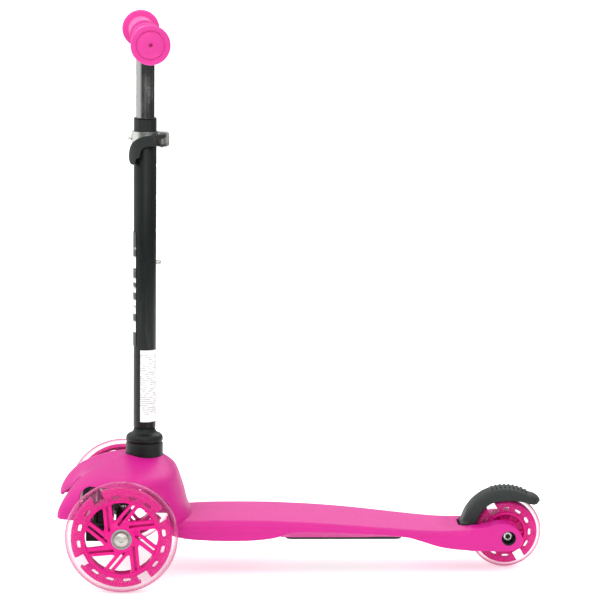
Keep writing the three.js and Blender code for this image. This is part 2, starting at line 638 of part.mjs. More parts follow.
function addFrontAxle({ name, sign }) {
  const at = [0, 0, FRONT_WHEEL_R];
  const headFace = TRACK / 2 + WHEEL_W / 2 + GAP;
  const dome = [[0, headFace], [8, headFace], [8, headFace + 1.4], [6.6, headFace + 3],
    [3.8, headFace + 4.1], [0, headFace + 4.4]].map(([r, h]) => [r, sign * h]);
  add(scooter, `axle_bolt_${name}`, join(
    turned('y', dome, ROUND, at),
    rod('y', AXLE_R, ...span(sign, KNUCKLE.bossIn - 8, headFace + 1), at),
  ), 'steel');
  add(scooter, `axle_nut_${name}`, hexAlong('y', 7.4, ...span(sign, KNUCKLE.bossIn - 7,
    KNUCKLE.bossIn - GAP), AXLE_R + FIT, at), 'steel');
}

function addRearAxle() {
  const at = [WHEELBASE, 0, REAR_WHEEL_R];
  const face = FORK_RECESS.floor + GAP;
  const socket = cut(
    turned('y', [[0, -face], [6.2, -face], [6.2, -face - 2.6], [5, -face - 3.6],
      [0, -face - 3.6]], ROUND, at),
    pushed('y', hexagon(3), -face - 5, -face - 1.4).translate(at),
  );
  add(scooter, 'rear_axle_bolt', join(
    socket, rod('y', AXLE_R, -face - 1.2, face + 3.5, at),
  ), 'steel');
  add(scooter, 'rear_axle_nut', hexAlong('y', 7.2, face, face + 3.6, AXLE_R + FIT, at), 'steel');
}

// ---------------------------------------------------------------- brake

// Side outline of the fender, from its pivot over the crest to its tail and back inside.
const BRAKE_SIDE = [
  [362, 36], [367.4, 43], [369.8, 46], [371, 50.5], [373.6, 56.2], [377.2, 65.6], [383.1, 74.2],
  [392.6, 82.9], [406, 89.2], [420, 91], [431, 90], [441, 87], [449.6, 83.4], [455.6, 80.6],
  [459, 77.2], [458, 73.8], [450.6, 72], [441, 74.6], [431, 76.2], [421, 76.4],
  [406.4, 74.4], [398, 69.1], [391.2, 59.7], [387.4, 50.6], [376, 35],
];
// Its rounded section: how far its sides stand in from the crest's circle.
const BRAKE_CREST = { x: 420, z: 40.8, r: 49.8 };
const BRAKE_SECTION = [[-11, 16], [-5, 15.4], [-2.2, 12.8], [-0.7, 8.6], [0.2, 3.5]];
const BRAKE_TAIL = { x: 449.8, z: 77.4, length: 10, half: 13, thick: 5.4, slope: 24 };
const BRAKE_CLEAR = 3.3; // between fender and tyre with the foot off it
const BRAKE_ROOM_HALF = 13.4; // of the room for the wheel, wider than the tyre
const BRAKE_ROOT = { x: [350, 400], z: [20, 52] }; // the part round the pivot
const BRAKE_HOLLOW = { rear: 381, z: [30, 47] }; // the open inside of that part
const BRAKE_NOTCH = { x: [355, 373], z: [30, 44.5] }; // for the spring
const BRAKE_EYE_R = 5.8;
const BRAKE_PIN_HALF = 24;
const ROUND_FINE = 48;
const BRAKE_SPRING_HALF = 5;

function addBrake() {
  const pivot = [BRAKE_PIVOT.x, 0, BRAKE_PIVOT.z];
  const wheelRoom = rod('y', REAR_WHEEL_R + BRAKE_CLEAR, -BRAKE_ROOM_HALF, BRAKE_ROOM_HALF,
    [WHEELBASE, 0, REAR_WHEEL_R], ROUND_FINE);
  const rootRoom = block([BRAKE_PIVOT.x + BRAKE_EYE_R + 0.2, BRAKE_HOLLOW.rear],
    [-BRAKE_HALF, BRAKE_HALF], BRAKE_HOLLOW.z);
  const { x, z, r } = BRAKE_CREST;
  const side = BRAKE_SECTION.map(([drop, half]) => [r + drop, half]);
  const crest = turned('y', [
    [0, -BRAKE_HALF], ...side.map(([radius, half]) => [radius, -half]),
    ...side.toReversed(), [0, BRAKE_HALF],
  ], ROUND_FINE, [x, 0, z]);
  const root = block(BRAKE_ROOT.x, [-BRAKE_HALF, BRAKE_HALF], BRAKE_ROOT.z);
  const tail = wasm.Manifold.sphere(1, ROUND)
    .scale([BRAKE_TAIL.length, BRAKE_TAIL.half, BRAKE_TAIL.thick])
    .rotate([0, BRAKE_TAIL.slope, 0]).translate([BRAKE_TAIL.x, 0, BRAKE_TAIL.z]);
  const profile = pushed('y', outline(BRAKE_SIDE), -BRAKE_HALF, BRAKE_HALF);
  add(scooter, 'brake_fender', cut(
    join(
      profile.intersect(join(crest, root)),
      tail,
      rod('y', BRAKE_EYE_R, -BRAKE_HALF, BRAKE_HALF, pivot, ROUND_COARSE),
    ),
    wheelRoom,
    rootRoom,
    rod('y', BRAKE_PIN_R + FIT, -BRAKE_PIN_HALF, BRAKE_PIN_HALF, pivot, ROUND_COARSE),
    block(BRAKE_NOTCH.x, [-BRAKE_SPRING_HALF, BRAKE_SPRING_HALF], BRAKE_NOTCH.z),
  ), 'black');
  add(scooter, 'brake_pin', rod('y', BRAKE_PIN_R, -BRAKE_PIN_HALF, BRAKE_PIN_HALF, pivot,
    ROUND_COARSE), 'steel');
  add(scooter, 'brake_spring', torsionSpring({
    coilR: 4.1, wireR: 0.6, turns: 4, pitch: 1.7, axis: 'y', at: pivot,
    legs: [[0, 0, -5], [0, 0, -5]],
  }), 'steel');
}

// ---------------------------------------------------------------- steering column

const COLLAR = { r: 20.2, bore: 14.7, spigotR: 17.4, top: 140.6, step: 120, bottom: 97 };
const FOOT = [
  [0, 98], [14.2, 98], [14.2, 141], [18.8, 141], [20.2, 144.6], [19.6, 147.4],
  [17.6, 149.4], [14.2, 151.2], [12.4, 153.4], [11.7, 156.2], [10.6, 156.8], [10.6, 178], [0, 178],
];
const BUSH_SLEEVE = { inner: 10.35, outer: 10.75, bottom: 470, flange: 1.2 };
const FILM = { inner: 12.6, outer: 12.9 };
const DECAL = { bottom: 247, top: 371, edge: -9.8 };
const LABEL = { bottom: 161, top: 241, edge: -4.8, wrap: 6 };

function addColumn() {
  const column = groupAt(COLUMN_X, 0, 0);
  const { r, wall, bottom, top } = TUBE;
  add(column, 'socket_collar', turned('z', [
    [COLLAR.bore, COLLAR.bottom], [COLLAR.spigotR, COLLAR.bottom], [COLLAR.spigotR, COLLAR.step],
    [COLLAR.r, COLLAR.step], [COLLAR.r, COLLAR.top - 1.2], [COLLAR.r - 0.8, COLLAR.top],
    [COLLAR.bore, COLLAR.top],
  ], ROUND), 'black');
  add(column, 'column_foot', turned('z', FOOT), 'black');
  const holes = Array.from({ length: LOCK_HOLES }, (_, i) => rod('x', LOCK_R + FIT, 5, 16,
    [0, 0, LOCK_Z + i * LOCK_PITCH], ROUND_COARSE));
  add(column, 'outer_tube', cut(
    ring('z', r - wall, r, bottom + GAP, top),
    ...holes,
    block([5, 16], [-1, 1], [CLAMP.bottom - 14, top + 1]),
  ), 'blackPaint');
  add(column, 'tube_bush', join(
    ring('z', BUSH_SLEEVE.inner, BUSH_SLEEVE.outer, BUSH_SLEEVE.bottom, top + GAP + 0.5),
    ring('z', BUSH_SLEEVE.inner, r, top + GAP, top + GAP + BUSH_SLEEVE.flange),
  ), 'black');
  add(column, 'lock_button', turned('x', [
    [0, T_TUBE.r + GAP], [LOCK_R, T_TUBE.r + GAP], [LOCK_R, 16.6], [1.7, 17.5], [0, 17.8],
  ], ROUND_COARSE, [0, 0, LOCK_Z]), 'steel');
  const film = (z0, z1) => ring('z', FILM.inner, FILM.outer, z0, z1);
  add(column, 'front_decal', film(DECAL.bottom, DECAL.top).intersect(
    block([-20, DECAL.edge], [-20, 20], [0, 500])), 'charcoal');
  add(column, 'rear_label', film(LABEL.bottom, LABEL.top).intersect(
    block([LABEL.edge, 20], [-20, LABEL.wrap], [0, 500])), 'white');
}

// ---------------------------------------------------------------- clamp and its lever

const EAR = { bottom: 460.5, top: 479, start: 11 };
const LEVER_SIDE = [
  [25, 478.2], [10, 477], [-2, 475.4], [-8.5, 472.4], [-13, 468.6], [-15.6, 463.6],
  [-16.9, 457.6], [-16.9, 450], [-15.5, 446], [-12.8, 444.8], [-10.8, 446.2], [-9.6, 451.4],
  [-5.2, 452.8], [-4.4, 458], [-2.6, 462.2], [2, 463.6], [10, 463.6], [25, 463.6],
];
const LEVER_BAND = { inner: 15.3, outer: 19.4 };
const LEVER_LOBE_R = 4.8;
const LEVER_SLOT = { start: 9.5, bottom: 465.8, top: 473.4 };

function addClamp() {
  const column = groupAt(COLUMN_X, 0, 0);
  const { bottom, top, outer, earReach, earIn, earOut } = CLAMP;
  const pinX = LEVER_PIN.x - COLUMN_X;
  const bolt = [pinX, 0, CLAMP_BOLT_Z];
  add(column, 'clamp_ring', cut(
    join(
      ring('z', FILM.inner, outer, bottom, top),
      ...both((side) => block([EAR.start, earReach], span(side, earIn, earOut),
        [EAR.bottom, EAR.top])),
      rod('x', 1.6, -18.3, 1 - outer, [0, 0, (bottom + top) / 2 - 0.5], ROUND_COARSE),
    ),
    block([0, earReach + 1], [-earIn, earIn], [EAR.bottom - 1, top + 1]),
    rod('z', FILM.inner, EAR.bottom - 1, top + 1),
    rod('y', 2.4 + FIT, -8, 8, bolt, ROUND_COARSE),
  ), 'chrome');
  const eye = [pinX, LEVER_PIN.y, CLAMP_BOLT_Z];
  add(column, 'draw_bolt', cut(
    join(
      rod('z', 3.9, -3.4, 3.4, eye, ROUND_COARSE),
      rod('y', 2.4, LEVER_PIN.y, 9.6, bolt, ROUND_COARSE),
    ),
    rod('z', LEVER_PIN.r + FIT, -5, 5, eye, ROUND_COARSE),
  ), 'chrome');
  add(column, 'barrel_nut', hexAlong('y', 4.2, earOut + GAP, 8.6, 2.4 + FIT, bolt), 'chrome');
  add(column, 'lever_pin', rod('z', LEVER_PIN.r, 463.2, 475.8, [pinX, LEVER_PIN.y, 0],
    ROUND_COARSE), 'steel');
  const { inner, outer: bandOuter } = LEVER_BAND;
  const plan = new THREE.Shape().moveTo(pinX, -bandOuter).lineTo(0, -bandOuter)
    .absarc(0, 0, bandOuter, 1.5 * Math.PI, Math.PI, true)
    .lineTo(-inner, 0).absarc(0, 0, inner, Math.PI, 1.5 * Math.PI).lineTo(pinX - 6, -inner);
  const levers = join(
    pushed('z', plan, 440, 480, 8),
    pushed('z', link([pinX, LEVER_PIN.y], [pinX - 1, LEVER_PIN.y - 5.4], LEVER_LOBE_R), 440, 480),
  );
  add(column, 'quick_lever', cut(
    levers.intersect(pushed('y', outline(LEVER_SIDE), -30, 10)),
    block([LEVER_SLOT.start, 40], [-40, 0], [LEVER_SLOT.bottom, LEVER_SLOT.top]),
    rod('z', LEVER_PIN.r + FIT, 400, 500, [pinX, LEVER_PIN.y, 0], ROUND_COARSE),
  ), 'black');
}

// ---------------------------------------------------------------- T-bar

const GRIP = { inner: 22, disc: 121.3, bore: 11.35, endWall: 119.4 };
const CLIP = { top: 372, bottom: 325, reach: 7.9, thick: 0.7, half: 2.7, pipR: 2.2 };

function addTBar() {
  const bar = groupAt(COLUMN_X, 0, 0);
  bar.rotation.z = BAR_TWIST;
  const { r, wall, bottom } = T_TUBE;
  add(bar, 't_bar', cut(
    join(
      rod('z', r, bottom, BAR_Z),
      rod('y', BAR_R, -BAR_HALF, BAR_HALF, [0, 0, BAR_Z]),
    ),
    rod('z', r - wall, bottom - 1, BAR_Z),
    rod('y', BAR_R - wall, -BAR_HALF - 1, BAR_HALF + 1, [0, 0, BAR_Z]),
    rod('x', LOCK_R + 2 * FIT, 5, 16, [0, 0, LOCK_Z], ROUND_COARSE),
  ), 'chrome');
  const { inner, disc, bore, endWall } = GRIP;
  const profile = [
    [16.1, inner], [16.1, inner + 3], [13.7, inner + 4.4], [13.7, disc - 4], [19.6, disc - 2.2],
    [20.7, disc - 0.8], [20.7, disc + 0.8], [19.6, disc + 2.2], [15, disc + 2.6],
    [9, disc + 4.8], [0, disc + 5.3],
  ];
  SIDES.forEach(({ name, sign }) => add(bar, `grip_${name}`, cut(
    turned('y', [[0, inner], ...profile].map(([radius, y]) => [radius, sign * y]), ROUND,
      [0, 0, BAR_Z]),
    rod('y', bore, ...span(sign, inner - 1, endWall), [0, 0, BAR_Z]),
  ), 'grip'));
  const legs = CLIP.reach - CLIP.thick;
  const hairpin = new THREE.Shape().moveTo(CLIP.reach, CLIP.bottom).lineTo(CLIP.reach, CLIP.top)
    .absarc(0, CLIP.top, CLIP.reach, 0, Math.PI).lineTo(-CLIP.reach, CLIP.bottom)
    .lineTo(-legs, CLIP.bottom).lineTo(-legs, CLIP.top)
    .absarc(0, CLIP.top, legs, Math.PI, 0, true)
    .lineTo(legs, CLIP.bottom);
  add(bar, 'spring_clip', join(
    pushed('y', hairpin, -CLIP.half, CLIP.half),
    rod('x', CLIP.pipR, legs, r - 0.1, [0, 0, LOCK_Z], ROUND_COARSE),
  ), 'steel');
}

// ---------------------------------------------------------------- assembly

addDeck();
addUnderplate();
addLeanCarrier();
addCentringSpring();
addAxleBeam();
SIDES.forEach(addKnuckle);
addTieRod();
SIDES.forEach(({ name, sign }) => addWheel(name, FRONT_WHEEL_R, (sign * TRACK) / 2, 0, true));
SIDES.forEach(addFrontAxle);
addWheel('rear', REAR_WHEEL_R, 0, WHEELBASE, false);
addRearAxle();
addBrake();
addColumn();
addClamp();
addTBar();

const footprint = new THREE.Box3().setFromObject(scooter);
scooter.position.set(-(footprint.min.x + footprint.max.x) / 2, 0, 0);

export default scooter;
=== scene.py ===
"""The visual model of a three-wheel kick scooter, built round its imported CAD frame.

Pieces are made in millimetres in the drawing frame: x = 0 is the front axle, z = 0 the ground,
+X runs towards the rear wheel and the rider's left side is -Y. finish_piece turns them into
metres in the row's frame.
"""
import math

import bmesh
import bpy
from mathutils import Matrix, Vector


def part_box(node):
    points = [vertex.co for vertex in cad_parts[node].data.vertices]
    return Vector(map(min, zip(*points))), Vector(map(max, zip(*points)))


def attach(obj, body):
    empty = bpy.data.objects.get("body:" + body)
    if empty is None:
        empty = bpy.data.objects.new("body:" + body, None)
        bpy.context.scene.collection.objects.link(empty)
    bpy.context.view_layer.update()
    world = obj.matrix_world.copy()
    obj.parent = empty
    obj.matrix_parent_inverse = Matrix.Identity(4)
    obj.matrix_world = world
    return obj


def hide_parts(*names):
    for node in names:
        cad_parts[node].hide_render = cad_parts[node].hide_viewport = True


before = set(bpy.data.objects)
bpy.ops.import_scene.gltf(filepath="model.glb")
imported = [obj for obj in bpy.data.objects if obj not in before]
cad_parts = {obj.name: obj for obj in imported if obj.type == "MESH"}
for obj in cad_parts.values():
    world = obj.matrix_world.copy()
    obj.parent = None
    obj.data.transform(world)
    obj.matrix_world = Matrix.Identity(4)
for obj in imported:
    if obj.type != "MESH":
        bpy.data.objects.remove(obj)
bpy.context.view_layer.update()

MM = 0.001


def node_centre(node):
    low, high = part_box(node)
    return [(a + b) / 2 for a, b in zip(low, high)]


ORIGIN_X = node_centre("steer_pin")[0]
TO_METRES = Matrix.Translation((ORIGIN_X, 0, 0)) @ Matrix.Scale(MM, 4)

COLUMN_X = 24.1
COLUMN = (COLUMN_X, 0, 0)
FRONT_R, REAR_R = 60, 40
FRONT_AXLE, REAR_AXLE = (0, 0, FRONT_R), (421, 0, REAR_R)
WHEEL_Y = 109.5
LEAN_Z = 80
LEAN_AXIS = (0, 0, LEAN_Z)
KINGPIN_X, KINGPIN_Y = -20, 66
CARRIER_X, CARRIER_Y = (-43, 9), (-20, 20)
BRAKE_PIVOT = (367, 0, 38)
BAR_TWIST = math.radians(2.46)
BAR_Z = 581
BAR_CENTRE = (0, 0, BAR_Z)
LOCK_Z = 338
M8_R, M8_HOLE_R = 3.9, 4.3
BRAKE_PIN_HOLE_R = 2.9
RECESS_R, RECESS_FLOOR = 8, 24.6  # round the rear bolt, on both arms of the fork
FAR = 100  # past the outside of any piece that a tool cuts through
SIDES = (("left", -1), ("right", 1))
BOTH = (-1, 1)

# ---- geometry


def new_object(vertices, faces):
    mesh = bpy.data.meshes.new("work")
    mesh.from_pydata([tuple(v) for v in vertices], [], faces)
    work = bmesh.new()
    work.from_mesh(mesh)
    bmesh.ops.remove_doubles(work, verts=work.verts, dist=1e-5)
    bmesh.ops.recalc_face_normals(work, faces=work.faces)
    work.to_mesh(mesh)
    work.free()
    obj = bpy.data.objects.new("work", mesh)
    bpy.context.scene.collection.objects.link(obj)
    return obj


def oriented(axis, u, v, along):
    """(u, v) in the plane across an axis: (y, z) across x, (x, z) across y, (x, y) across z."""
    return {"x": (along, u, v), "y": (u, along, v), "z": (u, v, along)}[axis]


def turned(axis, profile, at=(0, 0, 0), facets=96):
    """A lathe piece. The profile lists (radius, distance) and closes on itself off the axis."""
    vertices, rows = [], []
    for radius, along in profile:
        row = []
        for i in range(facets if radius > 0 else 1):
            angle = math.tau * i / facets
            point = oriented(axis, radius * math.cos(angle), radius * math.sin(angle), along)
            row.append(len(vertices))
            vertices.append([a + b for a, b in zip(point, at)])
        rows.append(row)
    if profile[0][0] > 0:
        rows.append(rows[0])
    faces = []
    for low, high in zip(rows, rows[1:]):
        for i in range(facets):
            corners = [low[i % len(low)], low[(i + 1) % len(low)],
                       high[(i + 1) % len(high)], high[i % len(high)]]
            kept = list(dict.fromkeys(corners))
            if len(kept) > 2:
                faces.append(kept)
    return new_object(vertices, faces)


def rod(axis, radius, low, high, at=(0, 0, 0), facets=64):
    return turned(axis, [(0, low), (radius, low), (radius, high), (0, high)], at, facets)


def ring(axis, inner, outer, low, high, at=(0, 0, 0), facets=96):
    return turned(axis, [(inner, low), (outer, low), (outer, high), (inner, high)], at, facets)


def pushed(axis, points, low, high):
    """An outline pushed along an axis from low to high."""
    count = len(points)
    vertices = [oriented(axis, u, v, along) for along in (low, high) for u, v in points]
    faces = [list(range(count)), list(range(count, 2 * count))]
    faces += [[i, (i + 1) % count, count + (i + 1) % count, count + i] for i in range(count)]
    return new_object(vertices, faces)


def corners(u, v):
    """The rectangle over two ranges."""
    return [(u[0], v[0]), (u[1], v[0]), (u[1], v[1]), (u[0], v[1])]


def block(x, y, z):
    return pushed("z", corners(x, y), *z)


def loft(rings):
    """A skin over closed rings with equal point counts, capped with a fan at both ends."""
    count = len(rings[0])
    vertices = [p for points in rings for p in points]
    faces = []
    for level in range(len(rings) - 1):
        a, b = level * count, (level + 1) * count
        faces += [[a + i, a + (i + 1) % count, b + (i + 1) % count, b + i] for i in range(count)]
    for start, points in ((0, rings[0]), ((len(rings) - 1) * count, rings[-1])):
        centre = len(vertices)
        vertices.append([sum(p[k] for p in points) / count for k in range(3)])
        faces += [[start + i, start + (i + 1) % count, centre] for i in range(count)]
    return new_object(vertices, faces)


def arc(cu, cv, radius, start, end, steps):
    """Points on an arc, in degrees."""
    angles = [math.radians(start + (end - start) * i / steps) for i in range(steps + 1)]
    return [(cu + radius * math.cos(a), cv + radius * math.sin(a)) for a in angles]


def ellipse(cu, cv, ru, rv):
    steps = 96
    return [(cu + ru * math.cos(math.tau * i / steps), cv + rv * math.sin(math.tau * i / steps))
            for i in range(steps)]


def link(start, end, radius, steps=16):
    """A bar with two round ends."""
    lean = math.degrees(math.atan2(end[1] - start[1], end[0] - start[0]))
    return (arc(*end, radius, lean - 90, lean + 90, steps)
            + arc(*start, radius, lean + 90, lean + 270, steps))


def rounded(points, radius, steps=5):
    """A polygon with its corners rounded."""
    result = []
    for i, corner in enumerate(points):
        here, before = Vector(corner), Vector(points[i - 1])
        after = Vector(points[(i + 1) % len(points)])
        back, on = (before - here).normalized(), (after - here).normalized()
        reach = min(radius / math.tan(back.angle(on) / 2), (before - here).length * 0.48,
                    (after - here).length * 0.48)
        start, end = here + back * reach, here + on * reach
        for k in range(steps + 1):
            t = k / steps
            point = start * (1 - t) ** 2 + here * 2 * t * (1 - t) + end * t ** 2
            result.append((point.x, point.y))
    return result


def spline(points, closed, per):
    """A centripetal Catmull-Rom curve through points of any dimension."""
    points = [Vector(p) for p in points]
    count = len(points)

    def node(i):
        if closed:
            return points[i % count]
        if i < 0:
            return points[0] * 2 - points[1]
        if i >= count:
            return points[-1] * 2 - points[-2]
        return points[i]

    result = []
    for i in range(count if closed else count - 1):
        p0, p1, p2, p3 = (node(i + k) for k in (-1, 0, 1, 2))
        t1 = max((p1 - p0).length, 1e-6) ** 0.5
        t2 = t1 + max((p2 - p1).length, 1e-6) ** 0.5
        t3 = t2 + max((p3 - p2).length, 1e-6) ** 0.5
        for k in range(per):
            t = t1 + (t2 - t1) * k / per
            a1 = p0 * ((t1 - t) / t1) + p1 * (t / t1)
            a2 = p1 * ((t2 - t) / (t2 - t1)) + p2 * ((t - t1) / (t2 - t1))
            a3 = p2 * ((t3 - t) / (t3 - t2)) + p3 * ((t - t2) / (t3 - t2))
            b1 = a1 * ((t2 - t) / t2) + a2 * (t / t2)
            b2 = a2 * ((t3 - t) / (t3 - t1)) + a3 * ((t - t1) / (t3 - t1))
            result.append(b1 * ((t2 - t) / (t2 - t1)) + b2 * ((t - t1) / (t2 - t1)))
    if not closed:
        result.append(points[-1])
    return [tuple(p) for p in result]


def bake(obj, tools=()):
    """Applies the modifiers of obj and removes the tools that they used."""
    graph = bpy.context.evaluated_depsgraph_get()
    mesh = bpy.data.meshes.new_from_object(obj.evaluated_get(graph))
    obj.modifiers.clear()
    obj.data = mesh
    for tool in tools:
        bpy.data.objects.remove(tool)
    return obj


def combine(base, tools, operation):
    for tool in tools:
        modifier = base.modifiers.new("combine", "BOOLEAN")
        modifier.operation = operation
        modifier.solver = "MANIFOLD"
        modifier.object = tool
    return bake(base, tools)


def join(base, *tools):
    return combine(base, tools, "UNION")


def cut(base, *tools):
    return combine(base, tools, "DIFFERENCE")


def common(base, tool):
    return combine(base, [tool], "INTERSECT")


def soften(obj, voxel, rounds):
    """Moulded-plastic edges: an even skin over the solid, smoothed."""
    remesh = obj.modifiers.new("skin", "REMESH")
    remesh.mode = "VOXEL"
    remesh.voxel_size = voxel
    smooth = obj.modifiers.new("smooth", "SMOOTH")
    smooth.factor = 0.5
    smooth.iterations = rounds
    return bake(obj)


def span(side, near, far):
    return (-far, -near) if side < 0 else (near, far)


def hexagon(radius):
    return arc(0, 0, radius, 30, 330, 5)


def moved(obj, at):
    obj.data.transform(Matrix.Translation(at))
    return obj


def round_edges(obj, width, degrees, segments=2):
    modifier = obj.modifiers.new("edges", "BEVEL")
    modifier.width = width * MM
    modifier.segments = segments
    modifier.limit_method = "ANGLE"
    modifier.angle_limit = math.radians(degrees)
    return modifier


SLOTS = {
    "pink": "pink_plastic", "black": "black_plastic", "sleeve": "black_plastic",
    "grip": "grip_rubber", "wheel": "wheel_plastic", "seam": "clear_urethane",
    "clear": "clear_urethane", "chrome": "chrome", "clamp": "chrome", "zinc": "zinc_steel",
    "bearing": "bearing_steel", "paint": "black_paint", "decal": "decal_film",
    "label": "label_film",
}


def finish_piece(name, obj, look, body, nodes=(), bevel=0.0, sharp=35, segments=2, slot=None):
    """Names a piece, takes it to metres, ties it to its body and hides the CAD nodes that it
    stands for.
    """
    slot = slot or SLOTS[look]
    obj.name = obj.data.name = name
    obj.data.transform(TO_METRES)
    obj.data.materials.clear()
    obj.data.materials.append(material[look])
    obj.data.shade_smooth()
    obj.data.set_sharp_from_angle(angle=math.radians(sharp))
    if bevel:
        round_edges(obj, bevel, sharp, segments).harden_normals = True
    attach(obj, body)
    if nodes:
        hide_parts(*nodes)


# ---- materials


def linear(red, green, blue):
    def channel(value):
        value /= 255
        return value / 12.92 if value <= 0.04045 else ((value + 0.055) / 1.055) ** 2.4
    return (channel(red), channel(green), channel(blue), 1)


class Tree:
    """A node tree, with short ways to add and link its nodes."""

    def __init__(self, owner):
        owner.use_nodes = True
        self.tree = owner.node_tree

    def add(self, kind, **values):
        node = self.tree.nodes.new(kind)
        for key, value in values.items():
            setattr(node, key, value)
        return node

    def link(self, source, target):
        self.tree.links.new(source, target)

    def spread(self, source, low, high, new_low=0.0, new_high=1.0):
        node = self.add("ShaderNodeMapRange")
        for key, value in (("From Min", low), ("From Max", high), ("To Min", new_low),
                           ("To Max", new_high)):
            node.inputs[key].default_value = value
        self.link(source, node.inputs["Value"])
        return node.outputs["Result"]

    def maths(self, operation, *terms):
        node = self.add("ShaderNodeMath", operation=operation)
        for slot_index, value in enumerate(terms):
            if isinstance(value, (int, float)):
                node.inputs[slot_index].default_value = value
            else:
                self.link(value, node.inputs[slot_index])
        return node.outputs[0]

    def split(self, source):
        node = self.add("ShaderNodeSeparateXYZ")
        self.link(source, node.inputs["Vector"])
        return node.outputs


class Nodes(Tree):
    """A material's node tree round its shader."""

    def __init__(self, name):
        self.material = bpy.data.materials.new(name)
        super().__init__(self.material)
        self.shader = self.tree.nodes["Principled BSDF"]
        self.place = self.add("ShaderNodeTexCoord").outputs["Object"]

    def feed(self, name, source):
        """Links a source to an input of the shader."""
        self.link(source, self.shader.inputs[name])

    def fed_by(self, name):
        return self.shader.inputs[name].links[0].from_socket

    def set(self, **values):
        for key, value in values.items():
            self.shader.inputs[key.replace("_", " ")].default_value = value

    def noise(self, scale, detail=3.0, roughness=0.55, stretch=None):
        node = self.add("ShaderNodeTexNoise")
        node.inputs["Scale"].default_value = scale
        node.inputs["Detail"].default_value = detail
        node.inputs["Roughness"].default_value = roughness
        source = self.place
        if stretch:
            mapping = self.add("ShaderNodeMapping")
            mapping.inputs["Scale"].default_value = stretch
            self.link(source, mapping.inputs["Vector"])
            source = mapping.outputs["Vector"]
        self.link(source, node.inputs["Vector"])
        return node.outputs["Fac"]

    def mix(self, factor, first, second):
        node = self.add("ShaderNodeMix", data_type="RGBA")
        colour_inputs = [s for s in node.inputs if s.type == "RGBA"]
        self.link(factor, node.inputs["Factor"])
        for target, value in zip(colour_inputs, (first, second)):
            if isinstance(value, tuple):
                target.default_value = value
            else:
                self.link(value, target)
        return next(s for s in node.outputs if s.type == "RGBA")

    def bump(self, height, strength, distance, normal=None):
        node = self.add("ShaderNodeBump")
        node.inputs["Strength"].default_value = strength
        node.inputs["Distance"].default_value = distance
        self.link(height, node.inputs["Height"])
        if normal:
            self.link(normal, node.inputs["Normal"])
        return node.outputs["Normal"]

    def edges(self):
        geometry = self.add("ShaderNodeNewGeometry")
        return self.spread(geometry.outputs["Pointiness"], 0.53, 0.6)


def tinted(colour, factor):
    return tuple(min(1.0, c * factor) for c in colour[:3]) + (1,)


def moulded(name, colour, rough, grain, depth, shift=0.12, worn=1.25, **extra):
    """Moulded plastic or rubber: uneven colour, a fine grain, scuffs and paler worn edges."""
    n = Nodes(name)
    broad = n.spread(n.noise(26, 4), 0.3, 0.7)
    speckle = n.spread(n.noise(grain, 2), 0.35, 0.65)
    base = n.mix(broad, tinted(colour, 1 - shift), tinted(colour, 1 + shift))
    fine = n.mix(n.maths("MULTIPLY", speckle, 0.3), base, tinted(colour, 1 - shift * 1.6))
    wear = n.maths("MULTIPLY", n.edges(), n.spread(n.noise(140, 4), 0.45, 0.7))
    n.feed("Base Color", n.mix(n.maths("MULTIPLY", wear, 0.5), fine, tinted(colour, worn)))
    scuffs = n.spread(n.noise(60, 6, 0.7, (1, 5, 1)), 0.5, 0.75)
    grained = n.maths("MULTIPLY_ADD", speckle, 0.08, rough - 0.05)
    n.feed("Roughness", n.maths("ADD", grained, n.maths("MULTIPLY", scuffs, 0.09)))
    coarse = n.bump(n.noise(grain * 0.22, 2), 0.12, 0.0006)
    n.feed("Normal", n.bump(n.noise(grain, 3), depth, 0.0003, coarse))
    n.set(**extra)
    return n


def metal(name, colour, rough, brush=(1, 1, 1), depth=0.06, tarnish=0.18):
    """Bare, plated or drawn metal with brushing, faint pits and a darker film in patches."""
    n = Nodes(name)
    patches = n.spread(n.noise(40, 5, 0.65), 0.42, 0.68)
    lines = n.noise(900, 3, 0.6, brush)
    toned = n.mix(n.maths("MULTIPLY", patches, tarnish), colour, tinted(colour, 0.45))
    wear = n.maths("MULTIPLY", n.edges(), 0.4)
    n.feed("Base Color", n.mix(wear, toned, tinted(colour, 1.3)))
    film = n.maths("MULTIPLY", patches, 0.12)
    n.feed("Roughness", n.maths("ADD", n.spread(lines, 0.3, 0.7, rough * 0.75, rough * 1.3), film))
    n.feed("Normal", n.bump(lines, depth, 0.0001, n.bump(n.noise(420, 2), 0.05, 0.0002)))
    n.set(Metallic=1.0)
    return n


PINK = linear(188, 16, 126)
WHEEL_PINK = linear(202, 14, 120)
GRIP_PINK = linear(222, 44, 150)
BLACK = linear(28, 34, 33)

